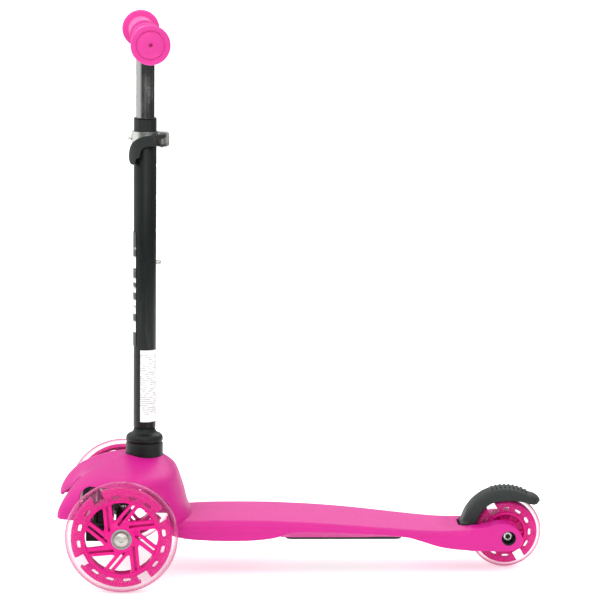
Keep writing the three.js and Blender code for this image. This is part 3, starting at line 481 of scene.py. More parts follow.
looks = {
    "black": moulded("black_moulding", BLACK, 0.5, 1500, 0.35, 0.16, 1.9,
                     Specular_IOR_Level=0.32),
    "sleeve": moulded("black_sleeve", linear(13, 19, 18), 0.42, 1100, 0.2, 0.12, 1.7,
                      Specular_IOR_Level=0.22),
    "white": moulded("bearing_plastic", linear(214, 213, 206), 0.5, 900, 0.15, 0.05, 1.0),
    "grip": moulded("grip_rubber", GRIP_PINK, 0.62, 1300, 0.45, 0.07, 1.12,
                    Sheen_Weight=0.25, Sheen_Roughness=0.5),
    "wheel": moulded("wheel_plastic", WHEEL_PINK, 0.3, 700, 0.08, 0.06, 1.12,
                     Coat_Weight=0.06, Coat_Roughness=0.12, Specular_IOR_Level=0.14),
    "seam": moulded("parting_line", linear(176, 92, 130), 0.5, 800, 0.05, 0.05, 1.0,
                    Specular_IOR_Level=0.1),
    "chrome": metal("chrome_plate", linear(172, 174, 171), 0.15, (1, 1, 0.03), 0.012, 0.05),
    "clamp": metal("clamp_plate", linear(200, 202, 198), 0.24, (1, 1, 1), 0.08, 0.2),
    "zinc": metal("zinc_plate", linear(176, 174, 168), 0.36, (1, 1, 1), 0.12, 0.3),
    "bearing": metal("bearing_steel", linear(150, 149, 148), 0.3, (1, 1, 1), 0.1, 0.25),
    "spring": metal("spring_wire", linear(112, 110, 104), 0.38, (1, 1, 1), 0.1, 0.35),
}
material = {look: nodes.material for look, nodes in looks.items()}


def pink_shell():
    """The deck's plastic. The foot area is speckled where it faces up behind the head."""
    n = moulded("pink_shell", PINK, 0.46, 1200, 0.25, 0.05, 1.1, Specular_IOR_Level=0.3)
    place = n.split(n.place)
    normal = n.split(n.add("ShaderNodeNewGeometry").outputs["Normal"])
    behind = n.spread(place["X"], ORIGIN_X + 0.072, ORIGIN_X + 0.084)
    before = n.spread(place["X"], ORIGIN_X + 0.356, ORIGIN_X + 0.344)
    level = n.spread(normal["Z"], 0.955, 0.985)
    low = n.spread(place["Z"], 0.068, 0.064)
    foot = n.maths("MULTIPLY", n.maths("MULTIPLY", behind, before),
                   n.maths("MULTIPLY", level, low))
    cells = n.add("ShaderNodeTexVoronoi")
    cells.inputs["Scale"].default_value = 820
    n.link(n.place, cells.inputs["Vector"])
    pips = n.spread(cells.outputs["Distance"], 0.1, 0.55, 1, 0)
    base = n.fed_by("Base Color")
    frosted = n.mix(n.maths("MULTIPLY", foot, n.maths("MULTIPLY_ADD", pips, 0.35, 0.3)),
                    base, linear(208, 92, 156))
    n.feed("Base Color", frosted)
    under = n.fed_by("Normal")
    n.feed("Normal", n.bump(n.maths("MULTIPLY", foot, pips), 0.5, 0.0004, under))
    rough = n.fed_by("Roughness")
    n.feed("Roughness", n.maths("ADD", rough, n.maths("MULTIPLY", foot, 0.16)))
    return n.material


def clear_urethane():
    """Cast urethane: clear and faintly pink, with fine mould marks. Its opacity rises towards
    grazing rims as painted shade for the darker refracting edges.
    """
    n = Nodes("clear_urethane")
    haze = n.spread(n.noise(70, 4), 0.35, 0.7)
    n.feed("Base Color", n.mix(haze, linear(208, 84, 146), linear(188, 66, 128)))
    n.feed("Roughness", n.spread(n.noise(300, 3), 0.3, 0.7, 0.05, 0.1))
    n.feed("Normal", n.bump(n.noise(240, 2), 0.05, 0.0003))
    # Opacity that rises with the grazing angle: painted shade standing in for the dark outline
    # that refraction gives the clear tyre.
    rim = n.add("ShaderNodeLayerWeight")
    rim.inputs["Blend"].default_value = 0.5
    n.feed("Alpha", n.spread(rim.outputs["Facing"], 0.28, 0.8, 0.16, 0.85))
    n.set(IOR=1.45)
    return n.material


def black_paint():
    """Satin powder coat on the tube, with orange peel and paler rubbed streaks."""
    n = Nodes("powder_coat")
    broad = n.spread(n.noise(18, 4), 0.3, 0.7)
    base = n.mix(broad, linear(12, 17, 16), linear(19, 25, 23))
    streaks = n.spread(n.noise(120, 5, 0.6, (1, 1, 0.12)), 0.58, 0.8)
    rubbed = n.mix(n.maths("MULTIPLY", streaks, 0.35), base, linear(62, 70, 68))
    n.feed("Base Color", rubbed)
    n.feed("Roughness", n.spread(n.noise(260, 3), 0.3, 0.7, 0.3, 0.42))
    n.feed("Normal", n.bump(n.noise(900, 2), 0.22, 0.0002))
    n.set(Coat_Weight=0.04, Coat_Roughness=0.3, Specular_IOR_Level=0.2)
    return n.material


def striped(name, paper, ink, lines, margin, rough):
    """A printed film: rows of plain strokes between blank margins, on toned stock."""
    n = Nodes(name)
    low, high, step, share = lines
    height = n.split(n.place)["Z"]
    inside = n.maths("MULTIPLY", n.spread(height, low, low + 0.0004),
                     n.spread(height, high, high - 0.0004))
    rows = n.maths("FRACT", n.maths("DIVIDE", height, step))
    stroke = n.spread(rows, share, share + 0.08, 1, 0)
    words = n.spread(n.noise(260, 1, 0.5, margin), 0.44, 0.5)
    printed = n.maths("MULTIPLY", n.maths("MULTIPLY", inside, stroke), words)
    stock = n.mix(n.spread(n.noise(50, 4), 0.3, 0.7), tinted(paper, 0.95), tinted(paper, 1.03))
    n.feed("Base Color", n.mix(printed, stock, ink))
    n.feed("Roughness", n.spread(n.noise(200, 3), 0.3, 0.7, rough - 0.06, rough + 0.08))
    n.feed("Normal", n.bump(n.noise(700, 2), 0.08, 0.0002))
    return n.material


material["pink"] = pink_shell()
material["clear"] = clear_urethane()
material["paint"] = black_paint()
material["decal"] = striped("front_decal_film", linear(52, 59, 58), linear(228, 230, 228),
                            (0.262, 0.356, 0.0235, 0.62), (0.05, 0.05, 0.4), 0.38)
material["label"] = striped("rear_label_film", linear(232, 233, 232), linear(158, 160, 164),
                            (0.171, 0.238, 0.0023, 0.3), (1, 1, 0.9), 0.42)

# ---- deck, head and fork

HEAD_LEVELS = [  # height, rear, side, nose x, nose y, notch x
    (42, 68, 58, -60, 50, -50), (64, 76, 77, -68.3, 61, -55), (74, 71.5, 79, -68.8, 60, -52),
    (88, 68, 80, -62.6, 57, -48), (100, 64, 80, -53.5, 50, -44), (107, 61.5, 79, -46, 43, -40),
    (112, 59, 74, -38.5, 38, -34), (117, 55, 59, -29, 31, -24), (121, 51, 43, -20.5, 25, -14),
    (125, 46.5, 26, -12, 18, -6), (128, 43, 16, -1, 12, 1),
]
HEAD_END = 57
HOOD_WALL = 3
ROOF = 140  # above the head's top
WHEEL_ARCH, WHEEL_ARCH_CORNER = [(-45, 30), (-45, 104.5), (12, 104.5), (12, 30)], 16
WHEEL_ROOM = ellipse(10, 60, 47, 44.5)
FRONT_ARCH = [(0, 99), (14, 98), (22, 95.5), (31, 87), (41, 79), (49, 73), (53, 67), (54, 30)]
FRONT_ARCH_CORNER, FRONT_ARCH_END = 6, -40
NOSE_BOTTOM, SKIRT_BOTTOM = 68, 60
BOSS_R, BOSS_BOTTOM = 23, 96.5
SEAT_BOTTOM = 96.3  # where the carrier bolts on
WEB_HALF, WEB_BOTTOM = 1.6, 104  # of the two webs inside the head
SHANK_R, SHANK_BOTTOM = 17.8, 90  # bore for the collar's shank
COLLAR_R, COLLAR_BOTTOM = 20.6, 119.7  # and for its body


def head_ring(level):
    z, rear, side, nose_x, nose_y, notch_x = level
    half = [
        (rear, 0), (rear * 0.94, side * 0.44), (rear * 0.7, side * 0.8), (rear * 0.08, side),
        (nose_x * 0.62, side * 0.65 + nose_y * 0.37), (nose_x, nose_y),
        (nose_x * 0.3 + notch_x * 0.7, nose_y * 0.5), (notch_x, 0),
    ]
    mirrored = [(x, -y) for x, y in reversed(half[1:-1])]
    return spline([(x, y, z) for x, y in half + mirrored], True, 8)


def thinned(level, lowest):
    """The level of the head's inside. The lowest one drops clear of the bottom edge."""
    z, rear, side, nose_x, nose_y, notch_x = level
    return (z - 4 * HOOD_WALL if lowest else z - HOOD_WALL, rear - HOOD_WALL, side - HOOD_WALL,
            nose_x + HOOD_WALL * 1.3, nose_y - HOOD_WALL * 0.3, notch_x + HOOD_WALL)


def build_head(levels):
    """The hollow head, open round the wheels and between its two noses."""
    outer = loft([head_ring(level) for level in levels])
    inner = loft([head_ring(thinned(level, i == 0)) for i, level in enumerate(levels)])
    half = FRONT_ARCH + [(-y, z) for y, z in reversed(FRONT_ARCH[1:])]
    return cut(
        outer, inner,
        pushed("y", rounded(WHEEL_ARCH, WHEEL_ARCH_CORNER, 12), -FAR, FAR),
        pushed("y", WHEEL_ROOM, -FAR, FAR),
        pushed("x", rounded(half, FRONT_ARCH_CORNER, 6), -FAR, FRONT_ARCH_END),
        block((-FAR, 0), (-FAR, FAR), (0, NOSE_BOTTOM)),
        block((-FAR, HEAD_END), (-FAR, FAR), (0, SKIRT_BOTTOM)),
    )


def build_head_inside(levels):
    """The column's boss, the carrier's seat and two webs, trimmed by the head's outside."""
    inside = join(
        rod("z", BOSS_R, BOSS_BOTTOM, ROOF, COLUMN),
        block(CARRIER_X, CARRIER_Y, (SEAT_BOTTOM, ROOF)),
        block((COLUMN_X, 74), (-WEB_HALF, WEB_HALF), (SKIRT_BOTTOM, ROOF)),
        block((COLUMN_X - WEB_HALF, COLUMN_X + WEB_HALF), (-90, 90), (WEB_BOTTOM, ROOF)),
    )
    return common(inside, loft([head_ring(level) for level in levels]))


DECK_STATIONS = [  # along the deck: x, half width, top, lower edge of the side, keel
    (50, 46, 62, 46, 46), (66, 49.5, 62.6, 42.5, 42.5), (100, 50.5, 64, 40, 40),
    (145, 51, 64, 40.6, 40), (166, 51, 63.6, 43.6, 40), (184, 51, 62.8, 49.4, 40),
    (205, 51, 61.8, 50.4, 40), (250, 50, 58.4, 48.6, 40), (306, 45.7, 53.1, 43.6, 40),
    (324, 44, 51.5, 38.4, 36.8), (345, 41.6, 50.2, 31.2, 30.8), (366, 39.4, 50, 27.4, 27.2),
    (392, 38.4, 51.3, 25.5, 25.5),
]
DECK_EDGE_R = 7
BAND_DEPTH = 12.6  # of the smooth band round the foot area
SKIRT_INSET = 1.7  # of the side below the band
SKIRT_END = 300
POCKETS = [  # under the deck: from x, to x, roof and half width
    (74, 121, 56.5, 44), (125, 172, 56.5, 44), (198, 240, 53, 24), (244, 284, 49, 24),
    (309, 334, 44, 33),
]
KEEL_HALF = 2  # of the rib left between the pockets
PLATE_SCREWS = [(x, y, 0) for x in (188, 294) for y in (-20, 20)]
SCREW_HOLE_R, SCREW_HOLE_TOP = 2.6, 49
CARRIER_SCREWS_Y, CARRIER_SCREW_HOLE_R = 15, 2.8


def deck_ring(station):
    x, half, top, side, keel = station
    shoulder = top - 1.2 - DECK_EDGE_R
    skirt = max(0, min(1, (top - BAND_DEPTH - side) / 4)) * max(0, min(1, (SKIRT_END - x) / 20))
    band = max(side + 1.2, top - BAND_DEPTH) if skirt else side + 1.2
    inset = SKIRT_INSET * skirt
    edge = [(half - DECK_EDGE_R * (1 - math.sin(a)), shoulder + DECK_EDGE_R * math.cos(a))
            for a in (math.pi / 2 * i / 8 for i in range(9))]
    right = [(half * 0.25, top), (half * 0.5, top - 0.1), (half * 0.7, top - 0.5), *edge,
             (half, band), (half - inset * 0.6, band - 0.7 * skirt),
             (half - inset, band - 1.5 * skirt - 0.2), (half - inset, side + 0.8),
             (half - inset - 0.8, side), (min(31, half - 2.8), keel)]
    left = [(-y, z) for y, z in reversed(right)]
    return [(x, y, z) for y, z in right + left]


FORK_SIDE = [
    (384, 25.6), (398, 25.5), (414, 25.4), (424.8, 26.4), (430.4, 28.2), (434.8, 31.4),
    (436.8, 35.6), (436, 41), (433, 46.8), (428.2, 51.4), (421.6, 54.9), (414.4, 56.1),
    (407, 55.1), (399, 52.9), (391, 51.5), (384, 51.1),
]
FORK_ROOT = ((380, 25.6), (380, 51))
FORK_INNER, FORK_OUTER = 14, 38.4
AXLE_PAD = (12.3, 15)  # on each arm, inside
BRAKE_SLOT_X, BRAKE_SLOT_Y, BRAKE_SLOT_CORNER = (368.6, 394), (-18.3, 18.3), 9
BRAKE_ROOM_X, BRAKE_ROOM_TOP = (360.5, 394), 45
WHEEL_SLOT_X = (391, 500)


def build_deck():
    levels = [HEAD_LEVELS[0], *spline(HEAD_LEVELS[1:], False, 4)]
    head = build_head(levels)
    inside = build_head_inside(levels)
    stations = spline(DECK_STATIONS, False, 6)
    outline = [FORK_ROOT[0], *spline(FORK_SIDE, False, 5), FORK_ROOT[1]]
    arms = [pushed("y", outline, *span(side, FORK_INNER, FORK_OUTER)) for side in BOTH]
    body = join(head, inside, loft([deck_ring(s) for s in stations]), *arms)
    body = cut(
        body,
        *[block((a, b), span(side, KEEL_HALF, width), (0, roof))
          for a, b, roof, width in POCKETS for side in BOTH],
        pushed("z", rounded(corners(BRAKE_SLOT_X, BRAKE_SLOT_Y), BRAKE_SLOT_CORNER), 0, FAR),
        block(BRAKE_ROOM_X, BRAKE_SLOT_Y, (0, BRAKE_ROOM_TOP)),
        block(WHEEL_SLOT_X, (-FORK_INNER, FORK_INNER), (0, FAR)),
    )
    body = join(body, *[rod("y", RECESS_R, *span(side, *AXLE_PAD), REAR_AXLE) for side in BOTH])
    body = soften(body, 1.15, 5)
    return cut(
        body,
        rod("z", SHANK_R, SHANK_BOTTOM, 150, COLUMN, 96),
        rod("z", COLLAR_R, COLLAR_BOTTOM, 150, COLUMN, 96),
        rod("y", M8_HOLE_R, -40, 40, REAR_AXLE),
        *[rod("y", RECESS_R, *span(side, RECESS_FLOOR, 40), REAR_AXLE) for side in BOTH],
        rod("y", BRAKE_PIN_HOLE_R, -25, 25, BRAKE_PIVOT),
        *[rod("z", SCREW_HOLE_R, 30, SCREW_HOLE_TOP, at) for at in PLATE_SCREWS],
        *[rod("z", CARRIER_SCREW_HOLE_R, 90, 109, (KINGPIN_X, y, 0))
          for y in (-CARRIER_SCREWS_Y, CARRIER_SCREWS_Y)],
    )


finish_piece("deck_shell", build_deck(), "pink", "frame", ["deck"], sharp=40)

PLATE_X, PLATE_Y, PLATE_Z, PLATE_CORNER = (178, 305), (-27, 27), (36.9, 39.7), 9
STIFFENER_X, STIFFENER_TOP = (205, 277), 38.2
COUNTERSINK_R, COUNTERSINK_TOP = 5, 38.5


def build_underplate():
    plate = pushed("z", rounded(corners(PLATE_X, PLATE_Y), PLATE_CORNER), *PLATE_Z)
    plate = join(plate, *[block((x, x + 2), (-16, 16), (PLATE_Z[0], STIFFENER_TOP))
                          for x in STIFFENER_X])
    return cut(plate, *[rod("z", SCREW_HOLE_R, 0, 60, at) for at in PLATE_SCREWS],
               *[rod("z", COUNTERSINK_R, 0, COUNTERSINK_TOP, at) for at in PLATE_SCREWS])


finish_piece("underplate_panel", build_underplate(), "black", "frame", ["underplate"], bevel=0.4)

# ---- wheels

SPOKES = 8
SPOKE_TURN = 24.8  # degrees from +X to the outer end of the first channel
OPENING = [  # between two spokes: radius, degrees from the channel
    (19.8, 0.8), (38.4, -8.4), (38.9, -18), (38.9, -29), (38.4, -38.9), (25, -22.6), (20.6, -10.5),
]
CHANNEL, CHANNEL_HALF, CHANNEL_FLOOR = ((15.8, 29.8), (36.4, 0)), 1.35, -3.4
FRONT_RIM = [(38.7, 7.9), (39.4, 8.6), (41.4, 8.6), (42, 8)]
FRONT_WEB = [(0, -6.6), (39.5, -6.6), (39.5, -1.6), (0, -1.6)]
FRONT_HUB = [(0, -11.4), (12.4, -11.4), (13.4, -11), (15.4, -9), (18.4, -7.1), (20.5, -6.4),
             (20.5, -2), (15.4, 9), (13.4, 11.4), (0, 11.4)]
FRONT_BAND = (41, 53.6, 8.6, 5)  # inner and outer radius, half width and crown
FRONT_OPENINGS = (16, 30, (0, 4, 8, 12), (45.2, 8.4, 3.5), (43, 60, 12.2))
FRONT_HOLLOW = (43.2, 51.8, -4.4, 20)
REAR_RIM = [(19.6, 9.4), (20.4, 10.4), (22.4, 10.4), (23, 9.6)]
REAR_WEB = [(0, 4), (21, 4)]
REAR_HUB = [(0, 12), (13.2, 12), (14, 11.2), (14.6, 4)]
REAR_BAND = (21.5, 35, 8.2, 3.6)
REAR_OPENINGS = (12, 0, (4, 10), (26.2, 7.6, 2.9), (24, 40, 9.6))
REAR_HOLLOW = (23.8, 33.2, -3.6, 20)
REAR_RIBS, REAR_RIB = 10, (13.5, 21, 1.8)
SEAT_R, SEAT_FLOOR, HUB_BORE_R = 11.15, 4.8, 8.4  # of the bearings
TYRE_HALF, TYRE_DEPTH = 11.9, 18
TYRE_CROWN = [  # from the tread inwards, from the side inwards
    (15.5, 1.4), (13, 0.3), (10, 0), (7, 0.5), (4.4, 2.3), (2.3, 5), (0.8, 8.2), (0, 11.9),
]
SEAM_DEPTH, SEAM_HALF = (1.1, 0.12), 0.45
BEARING = [
    (4.2, 5.05), (11, 5.05), (11, 11.6), (10.6, 11.95), (9.5, 11.95), (9.2, 11.6), (9.2, 11.1),
    (8.6, 11.25), (6.9, 11.25), (6.5, 11.1), (6.5, 11.6), (6.2, 11.95), (4.5, 11.95), (4.2, 11.6),
]


def polar(radius, degrees):
    angle = math.radians(degrees)
    return (radius * math.cos(angle), radius * math.sin(angle))


def stadium(centre, length, width, turn):
    """A slot with round ends, its length at right angles to the radius."""
    reach = (length - width) / 2
    tangent = polar(1, turn + 90)
    ends = [(centre[0] + tangent[0] * s * reach, centre[1] + tangent[1] * s * reach)
            for s in (-1, 1)]
    return link(*ends, width / 2, 8)


def radial_box(inner, outer, width, turn, corner=0.8):
    """A window with straight sides along a radius."""
    along, across = Vector(polar(1, turn)), Vector(polar(1, turn + 90))
    points = [along * r + across * w
              for r, w in corners((inner, outer), (-width / 2, width / 2))]
    return rounded([tuple(p) for p in points], corner, 4)


def symmetric(half):
    """A lathe profile from its half on the far side of the wheel's middle."""
    return [(r, -y) for r, y in half] + list(reversed(half))


def band_profile(inner, outer, half, crown):
    """The half-round section of the rim band."""
    return symmetric([(inner, half), (outer - crown, half),
                      (outer - crown * 0.35, half - crown * 0.35), (outer, half - crown)])


def rim_openings(count, first, windows, slot, window):
    """Slots round the rim band, with a wide window in place of some of them."""
    tools = []
    for k in range(count):
        turn = first + 360 / count * k
        radius, length, width = slot
        outline = (radial_box(*window, turn) if k in windows
                   else stadium(polar(radius, turn), length, width, turn))
        tools.append(pushed("y", outline, -20, 20))
    return tools


def hub_bores():
    return [rod("y", SEAT_R, SEAT_FLOOR, 20), rod("y", SEAT_R, -20, -SEAT_FLOOR),
            rod("y", HUB_BORE_R, -20, 20)]


def front_core():
    """Band, thin web near the outer face and hub. The outer face is towards -Y."""
    body = join(
        turned("y", symmetric(FRONT_RIM), facets=160),
        turned("y", band_profile(*FRONT_BAND), facets=160),
        turned("y", FRONT_WEB, facets=160),
        turned("y", FRONT_HUB, facets=128),
    )
    tools = []
    for k in range(SPOKES):
        turn = SPOKE_TURN + 360 / SPOKES * k
        opening = [polar(radius, turn + degrees) for radius, degrees in OPENING]
        tools.append(pushed("y", rounded(opening, 4), -20, 20))
        inner, outer = (polar(radius, turn + degrees) for radius, degrees in CHANNEL)
        tools.append(pushed("y", link(inner, outer, CHANNEL_HALF, 8), -20, CHANNEL_FLOOR))
        if k % 2:
            start = tuple(a + (b - a) * 0.2 for a, b in zip(inner, outer))
            tools.append(pushed("y", link(start, outer, CHANNEL_HALF, 8), -20, 20))
    return cut(body, *tools, *rim_openings(*FRONT_OPENINGS), *hub_bores(),
               ring("y", *FRONT_HOLLOW))


def rear_core():
    body = join(
        turned("y", symmetric(REAR_RIM), facets=128),
        turned("y", band_profile(*REAR_BAND), facets=128),
        turned("y", symmetric(REAR_WEB), facets=128),
        turned("y", symmetric(REAR_HUB), facets=128),
        *[pushed("y", radial_box(*REAR_RIB, 360 / REAR_RIBS * k, 0.2), -8, 8)
          for k in range(REAR_RIBS)],
    )
    return cut(body, *rim_openings(*REAR_OPENINGS), *hub_bores(), ring("y", *REAR_HOLLOW))


def tyre_shell(radius):
    """The clear tyre, cast round the rim band."""
    crown = [(radius - below, TYRE_HALF - within) for below, within in TYRE_CROWN]
    upper = spline([(radius - TYRE_DEPTH, TYRE_HALF - 2.2), *crown], False, 3)
    return turned("y", upper + [(r, -y) for r, y in reversed(upper[:-1])], facets=192)


def build_wheel(name, centre, radius, faces):
    core = front_core() if name != "rear" else rear_core()
    if centre[1] > 0:
        core.data.transform(Matrix.Rotation(math.pi, 4, "Z"))
    body = f"wheel_{name}"
    finish_piece(f"rim_{name}", moved(core, centre), "wheel", body, [f"wheel_core_{name}"],
                 bevel=0.45, segments=3)
    finish_piece(f"cast_tyre_{name}", moved(tyre_shell(radius), centre), "clear", body,
                 [f"tyre_{name}"], sharp=60)
    seam = ring("y", *(radius - depth for depth in SEAM_DEPTH), -SEAM_HALF, SEAM_HALF, centre, 192)
    finish_piece(f"parting_line_{name}", seam, "seam", body)
    for place, outward in faces:
        bearing = turned("y", [(r, y * outward) for r, y in BEARING])
        finish_piece(f"race_{name}_{place}", moved(bearing, centre), "bearing", body,
                     [f"bearing_{name}_{place}"], bevel=0.12)


for side_name, sign in SIDES:
    build_wheel(side_name, (0, sign * WHEEL_Y, FRONT_R), FRONT_R,
                (("outer", sign), ("inner", -sign)))
build_wheel("rear", REAR_AXLE, REAR_R, (("left", -1), ("right", 1)))

# ---- bolts and nuts

M8_NUT_R, M8_NUT_HOLE_R = 7.4, 4.1
BOLT_FACE = WHEEL_Y + 12.3
BOLT_DOME = [(8, 0.9), (7.4, 2.2), (5.6, 3.4), (3.2, 4.2), (0.01, 4.4)]  # radius, rise
REAR_NUT = (7.2, 24.9, 28.5)
# Thin black rings over the wall and floor of the recess round the rear bolt: painted shade for the
# deep recess.
RECESS_SHADE_WALL, RECESS_SHADE_FLOOR = (7.4, 7.9, 24.65, 37.8), (6.6, 7.6, 24.65, 24.85)  # radii, y outwards
REAR_BUTTON = [(0, -24.9), (6.2, -24.9), (6.2, -27), (5.8, -27.9), (5, -28.45), (0, -28.5)]
LEAN_HEAD_R, LEAN_HEAD_X = 7.2, (-48.9, -43.3)
LEAN_HEAD = [(0, -48.9), (6.2, -48.9), (7.2, -47.9), (7.2, -43.3), (0, -43.3)]


def hex_piece(axis, radius, low, high, hole, at):
    """A nut with a turned chamfer on both faces."""
    nut = pushed(axis, hexagon(radius), low, high)
    edge = radius * 0.87
    chamfer = turned(axis, [(0, low), (edge, low), (radius, low + 1), (radius, high - 1),
                            (edge, high), (0, high)])
    nut = cut(common(nut, chamfer), rod(axis, hole, low - 1, high + 1))
    return moved(nut, at)


def wheel_bolt(sign):
    """A domed head with a hexagon socket, outside the wheel, and a shank into the knuckle."""
    dome = spline([(r, BOLT_FACE + rise) for r, rise in BOLT_DOME], False, 5)[:-1]
    profile = [(0, BOLT_FACE), (8, BOLT_FACE), *[(max(r, 0), y) for r, y in dome],
               (0, BOLT_FACE + 4.4)]
    head = turned("y", [(r, sign * y) for r, y in profile])
    head = cut(head, pushed("y", hexagon(2.7), *span(sign, BOLT_FACE + 2.6, BOLT_FACE + 8)))
    return moved(join(head, rod("y", M8_R, *span(sign, 76.5, BOLT_FACE + 1))), FRONT_AXLE)


for side_name, sign in SIDES:
    finish_piece(f"wheel_bolt_{side_name}", wheel_bolt(sign), "zinc", f"knuckle_{side_name}",
                 [f"axle_bolt_{side_name}"], bevel=0.25)
    nut = hex_piece("y", M8_NUT_R, *span(sign, 77.5, 84.2), M8_NUT_HOLE_R, FRONT_AXLE)
    finish_piece(f"wheel_nut_{side_name}", nut, "zinc", f"knuckle_{side_name}",
                 [f"axle_nut_{side_name}"], bevel=0.2)

button = cut(turned("y", REAR_BUTTON), pushed("y", hexagon(3.1), -31, -25.3))
button = moved(join(button, rod("y", M8_R, -25.2, 28.4)), REAR_AXLE)
finish_piece("rear_bolt", button, "clamp", "frame", ["rear_axle_bolt"], bevel=0.25,
             slot="zinc_steel")
# A thin black hexagon at the bottom of the rear bolt's socket: painted shade for the deep socket.
finish_piece("socket_painted_shade", moved(pushed("y", hexagon(2.95), -25.6, -25.25), REAR_AXLE), "black",
             "frame", slot="zinc_steel")
finish_piece("rear_nut", hex_piece("y", *REAR_NUT, M8_NUT_HOLE_R, REAR_AXLE), "zinc", "frame",
             ["rear_axle_nut"], bevel=0.2)
# Each recess round the rear bolt gets a black lining of painted shade.
for side_name, sign in SIDES:
    shade_lining = join(*[ring("y", inner, outer, *span(sign, *y), at=REAR_AXLE)
                 for inner, outer, *y in (RECESS_SHADE_WALL, RECESS_SHADE_FLOOR)])
    finish_piece(f"recess_painted_shade_{side_name}", shade_lining, "black", "frame")
lean_head = common(pushed("x", hexagon(LEAN_HEAD_R), *LEAN_HEAD_X), turned("x", LEAN_HEAD))
finish_piece("pivot_bolt", join(moved(lean_head, LEAN_AXIS), rod("x", M8_R, -44, 16.9, LEAN_AXIS)),
             "zinc", "frame", ["lean_bolt"], bevel=0.25)
finish_piece("pivot_nut", hex_piece("x", M8_NUT_R, 9.3, 15.4, M8_NUT_HOLE_R, LEAN_AXIS), "zinc",
             "frame", ["lean_nut"], bevel=0.2)

# ---- front axle

BUSH_BOSS_R, BUSH_BORE_R, BUSH_BOSS_X = 10.5, 6.4, (-27, -5.7)
BEAM_X, BEAM_HALF, BEAM_Z = (-27, -12), 63, (63, 77)
EYE_R = 9.5  # round the kingpins
BEAM_POCKETS_X, BEAM_POCKETS_Y = ((-26, -20.6), (-18.4, -13)), ((14, 32), (34, 54))
BEAM_POCKETS_Z = (60, 74.5)
CARRIER_PLATE_Z = (91.8, 96)
CARRIER_LUGS, LUG_R = ((-43, -36.2), (-3, 9)), 11
KNUCKLE_ARM_Y = 81  # where the two arms meet the upright
KNUCKLE_ARMS_Z, STEER_ARM_Z = ((51, 59.5), (80.4, 87.6)), (51, 59)
AXLE_BOSSES = ((11, 84.5, 93), (6.6, 92, 97.1))  # radius, y outwards
KNUCKLE_BLOCKS = [  # x, y outwards, z
    ((-30, -9), (77, 92), (51, 87.6)), ((-38, -29), (77, 92), (51, 73)),
    ((-10, 0), (84.5, 92), (51, 69)),
]
KNUCKLE_POCKETS = [((-26.5, -12.5), (88, 95), z) for z in ((54, 67), (71, 84))]
TIE_R, TIE_Z = 6.5, (59.4, 65.4)
TIE_POCKET_X, TIE_POCKET_Y, TIE_POCKET_Z = (-3.6, 3.6), (13, 55), (63.2, 70)
TIE_PIN_HOLE_R, TIE_EYE_HOLE_R, STEER_HOLE_R = 3.3, 3.4, 5.2


def build_beam():
    beam = join(
        rod("x", BUSH_BOSS_R, *BUSH_BOSS_X, LEAN_AXIS),
        block(BEAM_X, (-BEAM_HALF, BEAM_HALF), BEAM_Z),
        *[rod("z", EYE_R, 60, 80, (KINGPIN_X, KINGPIN_Y * side, 0)) for side in BOTH],
    )
    pockets = [block(across, span(side, *along), BEAM_POCKETS_Z)
               for across in BEAM_POCKETS_X for along in BEAM_POCKETS_Y for side in BOTH]
    beam = soften(cut(beam, *pockets), 0.8, 3)
    return cut(beam, rod("x", BUSH_BORE_R, -28, -4, LEAN_AXIS),
               *[rod("z", M8_HOLE_R, 50, 90, (KINGPIN_X, KINGPIN_Y * side, 0))
                 for side in BOTH])


def build_carrier():
    lug = [(LUG_R, 93), *arc(0, LEAN_Z, LUG_R, 0, -180, 24), (-LUG_R, 93)]
    carrier = join(block(CARRIER_X, CARRIER_Y, CARRIER_PLATE_Z),
                   *[pushed("x", lug, a, b) for a, b in CARRIER_LUGS])
    carrier = soften(carrier, 0.7, 2)
    return cut(carrier, rod("x", M8_HOLE_R, -44, 10, LEAN_AXIS), rod("z", M8_HOLE_R, 60, 74.5),
               *[rod("z", CARRIER_SCREW_HOLE_R, 80, 100, (KINGPIN_X, CARRIER_SCREWS_Y * side, 0))
                 for side in BOTH])


def build_knuckle(sign):
    eye, tie_end = (KINGPIN_X, sign * KINGPIN_Y), (0, sign * KINGPIN_Y)
    outward = (KINGPIN_X, sign * KNUCKLE_ARM_Y)
    knuckle = join(
        *[pushed("z", link(eye, outward, EYE_R), *heights) for heights in KNUCKLE_ARMS_Z],
        pushed("z", link(eye, tie_end, TIE_R), *STEER_ARM_Z),
        *[block(x, span(sign, *y), z) for x, y, z in KNUCKLE_BLOCKS],
        *[rod("y", radius, *span(sign, *y), FRONT_AXLE) for radius, *y in AXLE_BOSSES],
    )
    knuckle = cut(knuckle, *[block(x, span(sign, *y), z) for x, y, z in KNUCKLE_POCKETS])
    knuckle = soften(knuckle, 0.75, 3)
    return cut(knuckle, rod("z", M8_HOLE_R, 0, 100, (*eye, 0)),
               rod("z", TIE_PIN_HOLE_R, 0, 70, (*tie_end, 0)),
               rod("y", M8_HOLE_R, -120, 120, FRONT_AXLE))


def build_tie():
    tie = join(pushed("z", link((0, -KINGPIN_Y), (0, KINGPIN_Y), TIE_R), *TIE_Z),
               rod("z", EYE_R, *TIE_Z))
    tie = soften(cut(tie, *[block(TIE_POCKET_X, span(side, *TIE_POCKET_Y), TIE_POCKET_Z)
                            for side in BOTH]), 0.7, 2)
    return cut(tie, rod("z", STEER_HOLE_R, 50, 70),
               *[rod("z", TIE_EYE_HOLE_R, 50, 70, (0, KINGPIN_Y * side, 0)) for side in BOTH])


finish_piece("cross_beam", build_beam(), "black", "axle_beam", ["axle_beam"], sharp=50)
finish_piece("pivot_bracket", build_carrier(), "black", "frame", ["lean_carrier"], sharp=50)
for side_name, sign in SIDES:
    finish_piece(f"stub_{side_name}", build_knuckle(sign), "black", f"knuckle_{side_name}",
                 [f"knuckle_{side_name}"], sharp=50)
finish_piece("track_rod", build_tie(), "black", "tie_rod", ["tie_rod"], sharp=50)

# ---- brake

